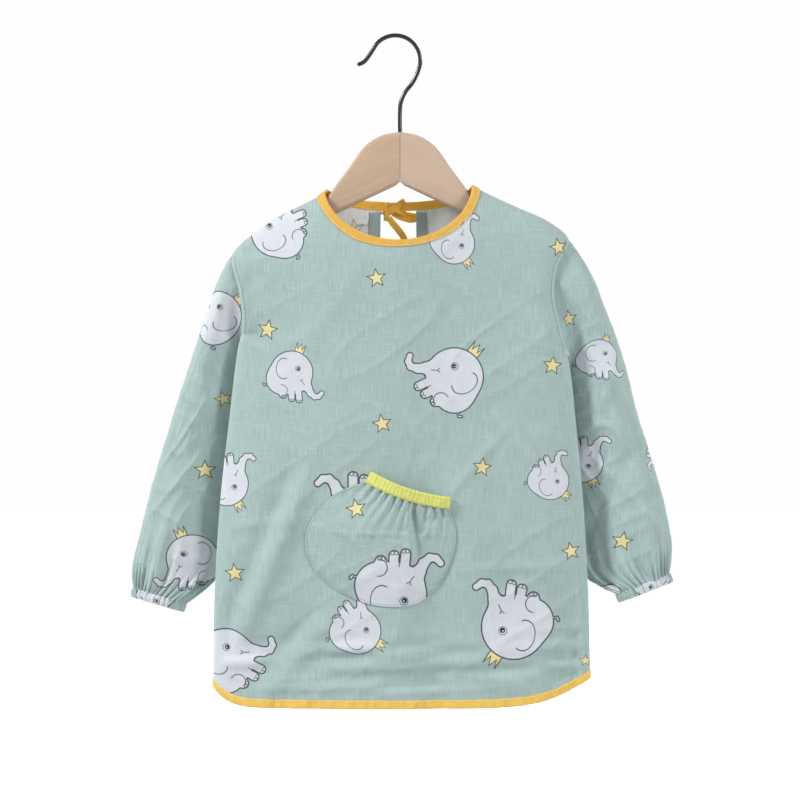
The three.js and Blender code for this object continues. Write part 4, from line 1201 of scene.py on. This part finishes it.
def knot_band(name, across, up, turn, long, deep, wide):
    """A flat tape wrapped once round the knot, and the line along which it is stitched."""
    a = np.linspace(0, 2 * math.pi, 97)[:-1]
    c, s = math.cos(math.radians(turn)), math.sin(math.radians(turn))
    run = long * np.sign(np.cos(a)) * np.abs(np.cos(a)) ** 0.85
    ring = np.stack([run * c, deep * np.sin(a), run * s], -1) + np.array([across, 0, up]) + KNOT
    outward = unit(np.stack([np.cos(a) * c / long, np.sin(a) / deep, np.cos(a) * s / long], -1))
    closed = lambda line: np.vstack([line[-1:], line, line[:1]])
    _, side, out = (way[1:-1] for way in frames(closed(ring), closed(outward)))
    section = np.array(rounded(wide, 1.4, 0.65))
    loops = ring[:, None] + side[:, None] * section[None, :, :1] + out[:, None] * section[None, :, 1:]
    count, n = loops.shape[:2]
    vert = grid(count + 1, n, True)[0] % (count * n)
    points = loops.reshape(-1, 3)
    if volume(points, vert) < 0:
        vert = vert[:, ::-1]
    flat = np.stack(np.meshgrid(np.linspace(0, 40, count), np.linspace(0, 13, n), indexing="ij"), -1)
    ob = make(name, points, [vert], [ORANGE_PAINTED_LIGHT], None, {"Cloth": (flat.reshape(-1, 2) * MM)[vert].reshape(-1, 2)})
    seen = np.sin(a) < 0.1
    return ob, ((ring + side * (wide / 2 - 0.9) + out * 0.75)[seen], out[seen])


u, v = np.meshgrid(np.linspace(0, math.pi, 40), np.linspace(0, 2 * math.pi, 61)[:-1], indexing="ij")
ball = np.stack([9.4 * np.cos(u), 4.2 * np.sin(u) * np.sin(v), 5.6 * np.sin(u) * np.cos(v)], -1)
knot_core = loft("knot_core", (ball + KNOT)[1:-1], ORANGE_PAINTED_LIGHT, sharp=80)
ride(knot_core, "smock", "yellow_binding", "tie_knot")
bands = [knot_band(f"knot_band_{k + 1}", *numbers) for k, numbers in enumerate(KNOT_BANDS)]
for ob, _ in bands:
    ride(ob, "smock", "yellow_binding")
knot_seam = stitches("knot_stitches", [row for _, row in bands], THREAD_YELLOW, 1.9, 0.6, 0.4)
ride(knot_seam, "smock", "yellow_binding")
BOW = [(-6, 22.5, -156.5), (-1, 21.2, -159.4), (5, 20.8, -161.6), (10.5, 21.4, -162.6), (14.2, 22.8, -161.4),
       (14.4, 24.2, -159.6), (10.5, 25.2, -158.6), (4.5, 25.2, -157.4), (-1, 24.8, -155.8), (-4, 24, -154.5)]
bow_path = resample(curve(BOW)(np.linspace(0, 1, 300)), 150)
lean = np.linspace(0.15, 0.6, 150)
up = np.stack([0 * lean, np.cos(lean), -np.sin(lean)], -1)
bow_loop = loft("bow_loop", swept(bow_path, rounded(5.6, 1.3, 0.6), up), ORANGE_PAINTED_LIGHT)
ride(bow_loop, "smock", "yellow_binding", "tie_loop")


# ---------------------------------------------------------------- hanger and hook
arm_top = through([(0, APEX_TOP), (18, -88.5), (33, -99), (47, -118.5), (57, -131.8), (66, -144), (80, -154.5),
                   (108, -169), (ARM_REACH, -182)])


def arm_loop(side, x):
    under, top = APEX_UNDER - UNDER_SLOPE * x, float(arm_top(x))
    tip = max(x - (ARM_REACH - TIP_RUN), 0) / TIP_RUN
    keep = math.sqrt(1 - 0.8 * tip * tip)
    middle, tall, wide = (top + under) / 2, (top - under) / 2 * keep, WOOD / 2 * keep
    corner = min(WOOD_ROUND, tall * 0.8, wide * 0.8)
    return [(SIGN[side] * x, y, middle + z) for y, z in rounded(2 * wide, 2 * tall, corner, 6)]


def cutter(radius, top):
    bottom = APEX_UNDER - 20
    bm = bmesh.new()
    bmesh.ops.create_cone(bm, cap_ends=True, segments=48, radius1=radius * MM, radius2=radius * MM,
                          depth=(top - bottom) * MM)
    bmesh.ops.translate(bm, verts=bm.verts, vec=(0, 0, (top + bottom) / 2 * MM))
    me = bpy.data.meshes.new("cutter")
    bm.to_mesh(me)
    bm.free()
    ob = bpy.data.objects.new("cutter", me)
    scene.collection.objects.link(ob)
    return ob


for side in ("left", "right"):
    tip_xs = ARM_REACH - TIP_RUN + TIP_RUN * np.sin(np.linspace(0, quarter, 12)[1:])
    xs = np.concatenate([np.linspace(GAP / 2, ARM_REACH - TIP_RUN, 90), tip_xs])
    arm = loft(f"wood_arm_{side}", [arm_loop(side, x) for x in xs], BEECH[side], sharp=40)
    tools = [cutter(WIRE / 2 + 0.35, -60), cutter(4.5, APEX_UNDER + HEAD_POCKET)]
    for tool in tools:
        cut = arm.modifiers.new("cut", "BOOLEAN")
        cut.operation, cut.solver, cut.object = "DIFFERENCE", "EXACT", tool
    bpy.context.view_layer.update()
    shaped = bpy.data.meshes.new_from_object(arm.evaluated_get(bpy.context.evaluated_depsgraph_get()))
    arm.modifiers.clear()
    arm.data = shaped
    for tool in tools:
        bpy.data.objects.remove(tool)
    ride(arm, "smock", f"beech_{side}", f"hanger_arm_{side}")

r = WIRE / 2
seat = math.sqrt((CROOK_RADIUS - r) ** 2 - CROOK_SHIFT ** 2)
foot = APEX_UNDER + HEAD_POCKET


def around(radius, n):
    return [(radius * math.cos(k), radius * math.sin(k)) for k in np.linspace(0, 2 * math.pi, n + 1)[:-1]]


def on_crook(degrees):
    a = math.radians(degrees)
    return CROOK_SHIFT + CROOK_RADIUS * math.cos(a), 0, -seat + CROOK_RADIUS * math.sin(a)


route = [(-38.5, 0, -24.3), (-32.5, 0, -21.5)] + [on_crook(d) for d in (158, 135, 112, 90, 68, 45, 22, 0, -20)]
route += [(11.5, 0, -40), (4.6, 0, -49), (0.8, 0, -58), (0, 0, -66), (0, 0, APEX_TOP), (0, 0, foot)]
path = resample(curve(route)(np.linspace(0, 1, 1500)), 260)
path = np.vstack([resample(path[:6], 22), path[6:]])
tip = np.sqrt(np.clip(1 - (1 - np.clip(lengths(path) / r, 0, 1)) ** 2, 0.01, 1))
wire = loft("wire_hook", swept(path, around(r, 24), (0, 1, 0), tip), BLACK, sharp=60)
ride(wire, "hook", "black_wire", "hook_wire")
HEAD = [(0.2, 0), (3.9, 0), (4.2, -0.3), (4.2, -1.1), (3.9, -1.7), (3.1, -2.25), (1.8, -2.55), (0.2, -2.6)]
head = [[(x, y, foot - GAP + z) for x, y in around(radius, 40)] for radius, z in HEAD]
rivet = loft("wire_head", head, BLACK, sharp=60)
ride(rivet, "hook", "black_wire", "hook_rivet_head")

# ---------------------------------------------------------------- floor and light
g = Graph("floor_pale")
tone = g.noise(g.place(), 3).level(0.59, 0.61)
# the camera sees a sweep that is lit to white, as in a studio
seen = g.add("ShaderNodeLightPath", output="Is Camera Ray")
g.finish(g.grey(tone), 0.9, Emission_Color=(1, 1, 1, 1), Emission_Strength=seen * 0.75)

FLOOR_HALF, FLOOR_Z = 9.0, -0.72
corners = [(FLOOR_HALF * x, FLOOR_HALF * y, FLOOR_Z) for x, y in ((-1, -1), (1, -1), (1, 1), (-1, 1))]
floor_mesh = bpy.data.meshes.new("floor")
floor_mesh.from_pydata(corners, [], [(0, 1, 2, 3)])
floor_mesh.materials.append(g.material)
floor = bpy.data.objects.new("floor", floor_mesh)
scene.collection.objects.link(floor)

world = bpy.data.worlds.new("studio")
world.use_nodes = True
sky = world.node_tree
backdrop = sky.nodes["Background"]
backdrop.inputs[0].default_value = (0.995, 0.995, 0.995, 1)
glow = sky.nodes.new("ShaderNodeBackground")
glow.inputs[0].default_value = (0.97, 0.985, 1, 1)
glow.inputs[1].default_value = 0.4
rays, pick = sky.nodes.new("ShaderNodeLightPath"), sky.nodes.new("ShaderNodeMixShader")
for a, b in ((rays.outputs["Is Camera Ray"], pick.inputs[0]), (glow.outputs[0], pick.inputs[1]),
             (backdrop.outputs[0], pick.inputs[2]), (pick.outputs[0], sky.nodes["World Output"].inputs[0])):
    sky.links.new(a, b)
scene.world = world

LIT_POINT = Vector((0, 0, -0.3))
for name, at, wide, watts in (("key", (-2.2, -0.95, 1.2), 0.5, 70), ("back", (1.4, 2.4, 0.9), 1.4, 52),
                               ("side", (2.1, -1.3, 0.5), 0.8, 33)):
    data = bpy.data.lights.new(name, "AREA")
    data.shape, data.size, data.energy = "SQUARE", wide, watts
    ob = bpy.data.objects.new(name, data)
    ob.location = at
    ob.rotation_euler = (LIT_POINT - Vector(at)).to_track_quat("-Z", "Y").to_euler()
    scene.collection.objects.link(ob)
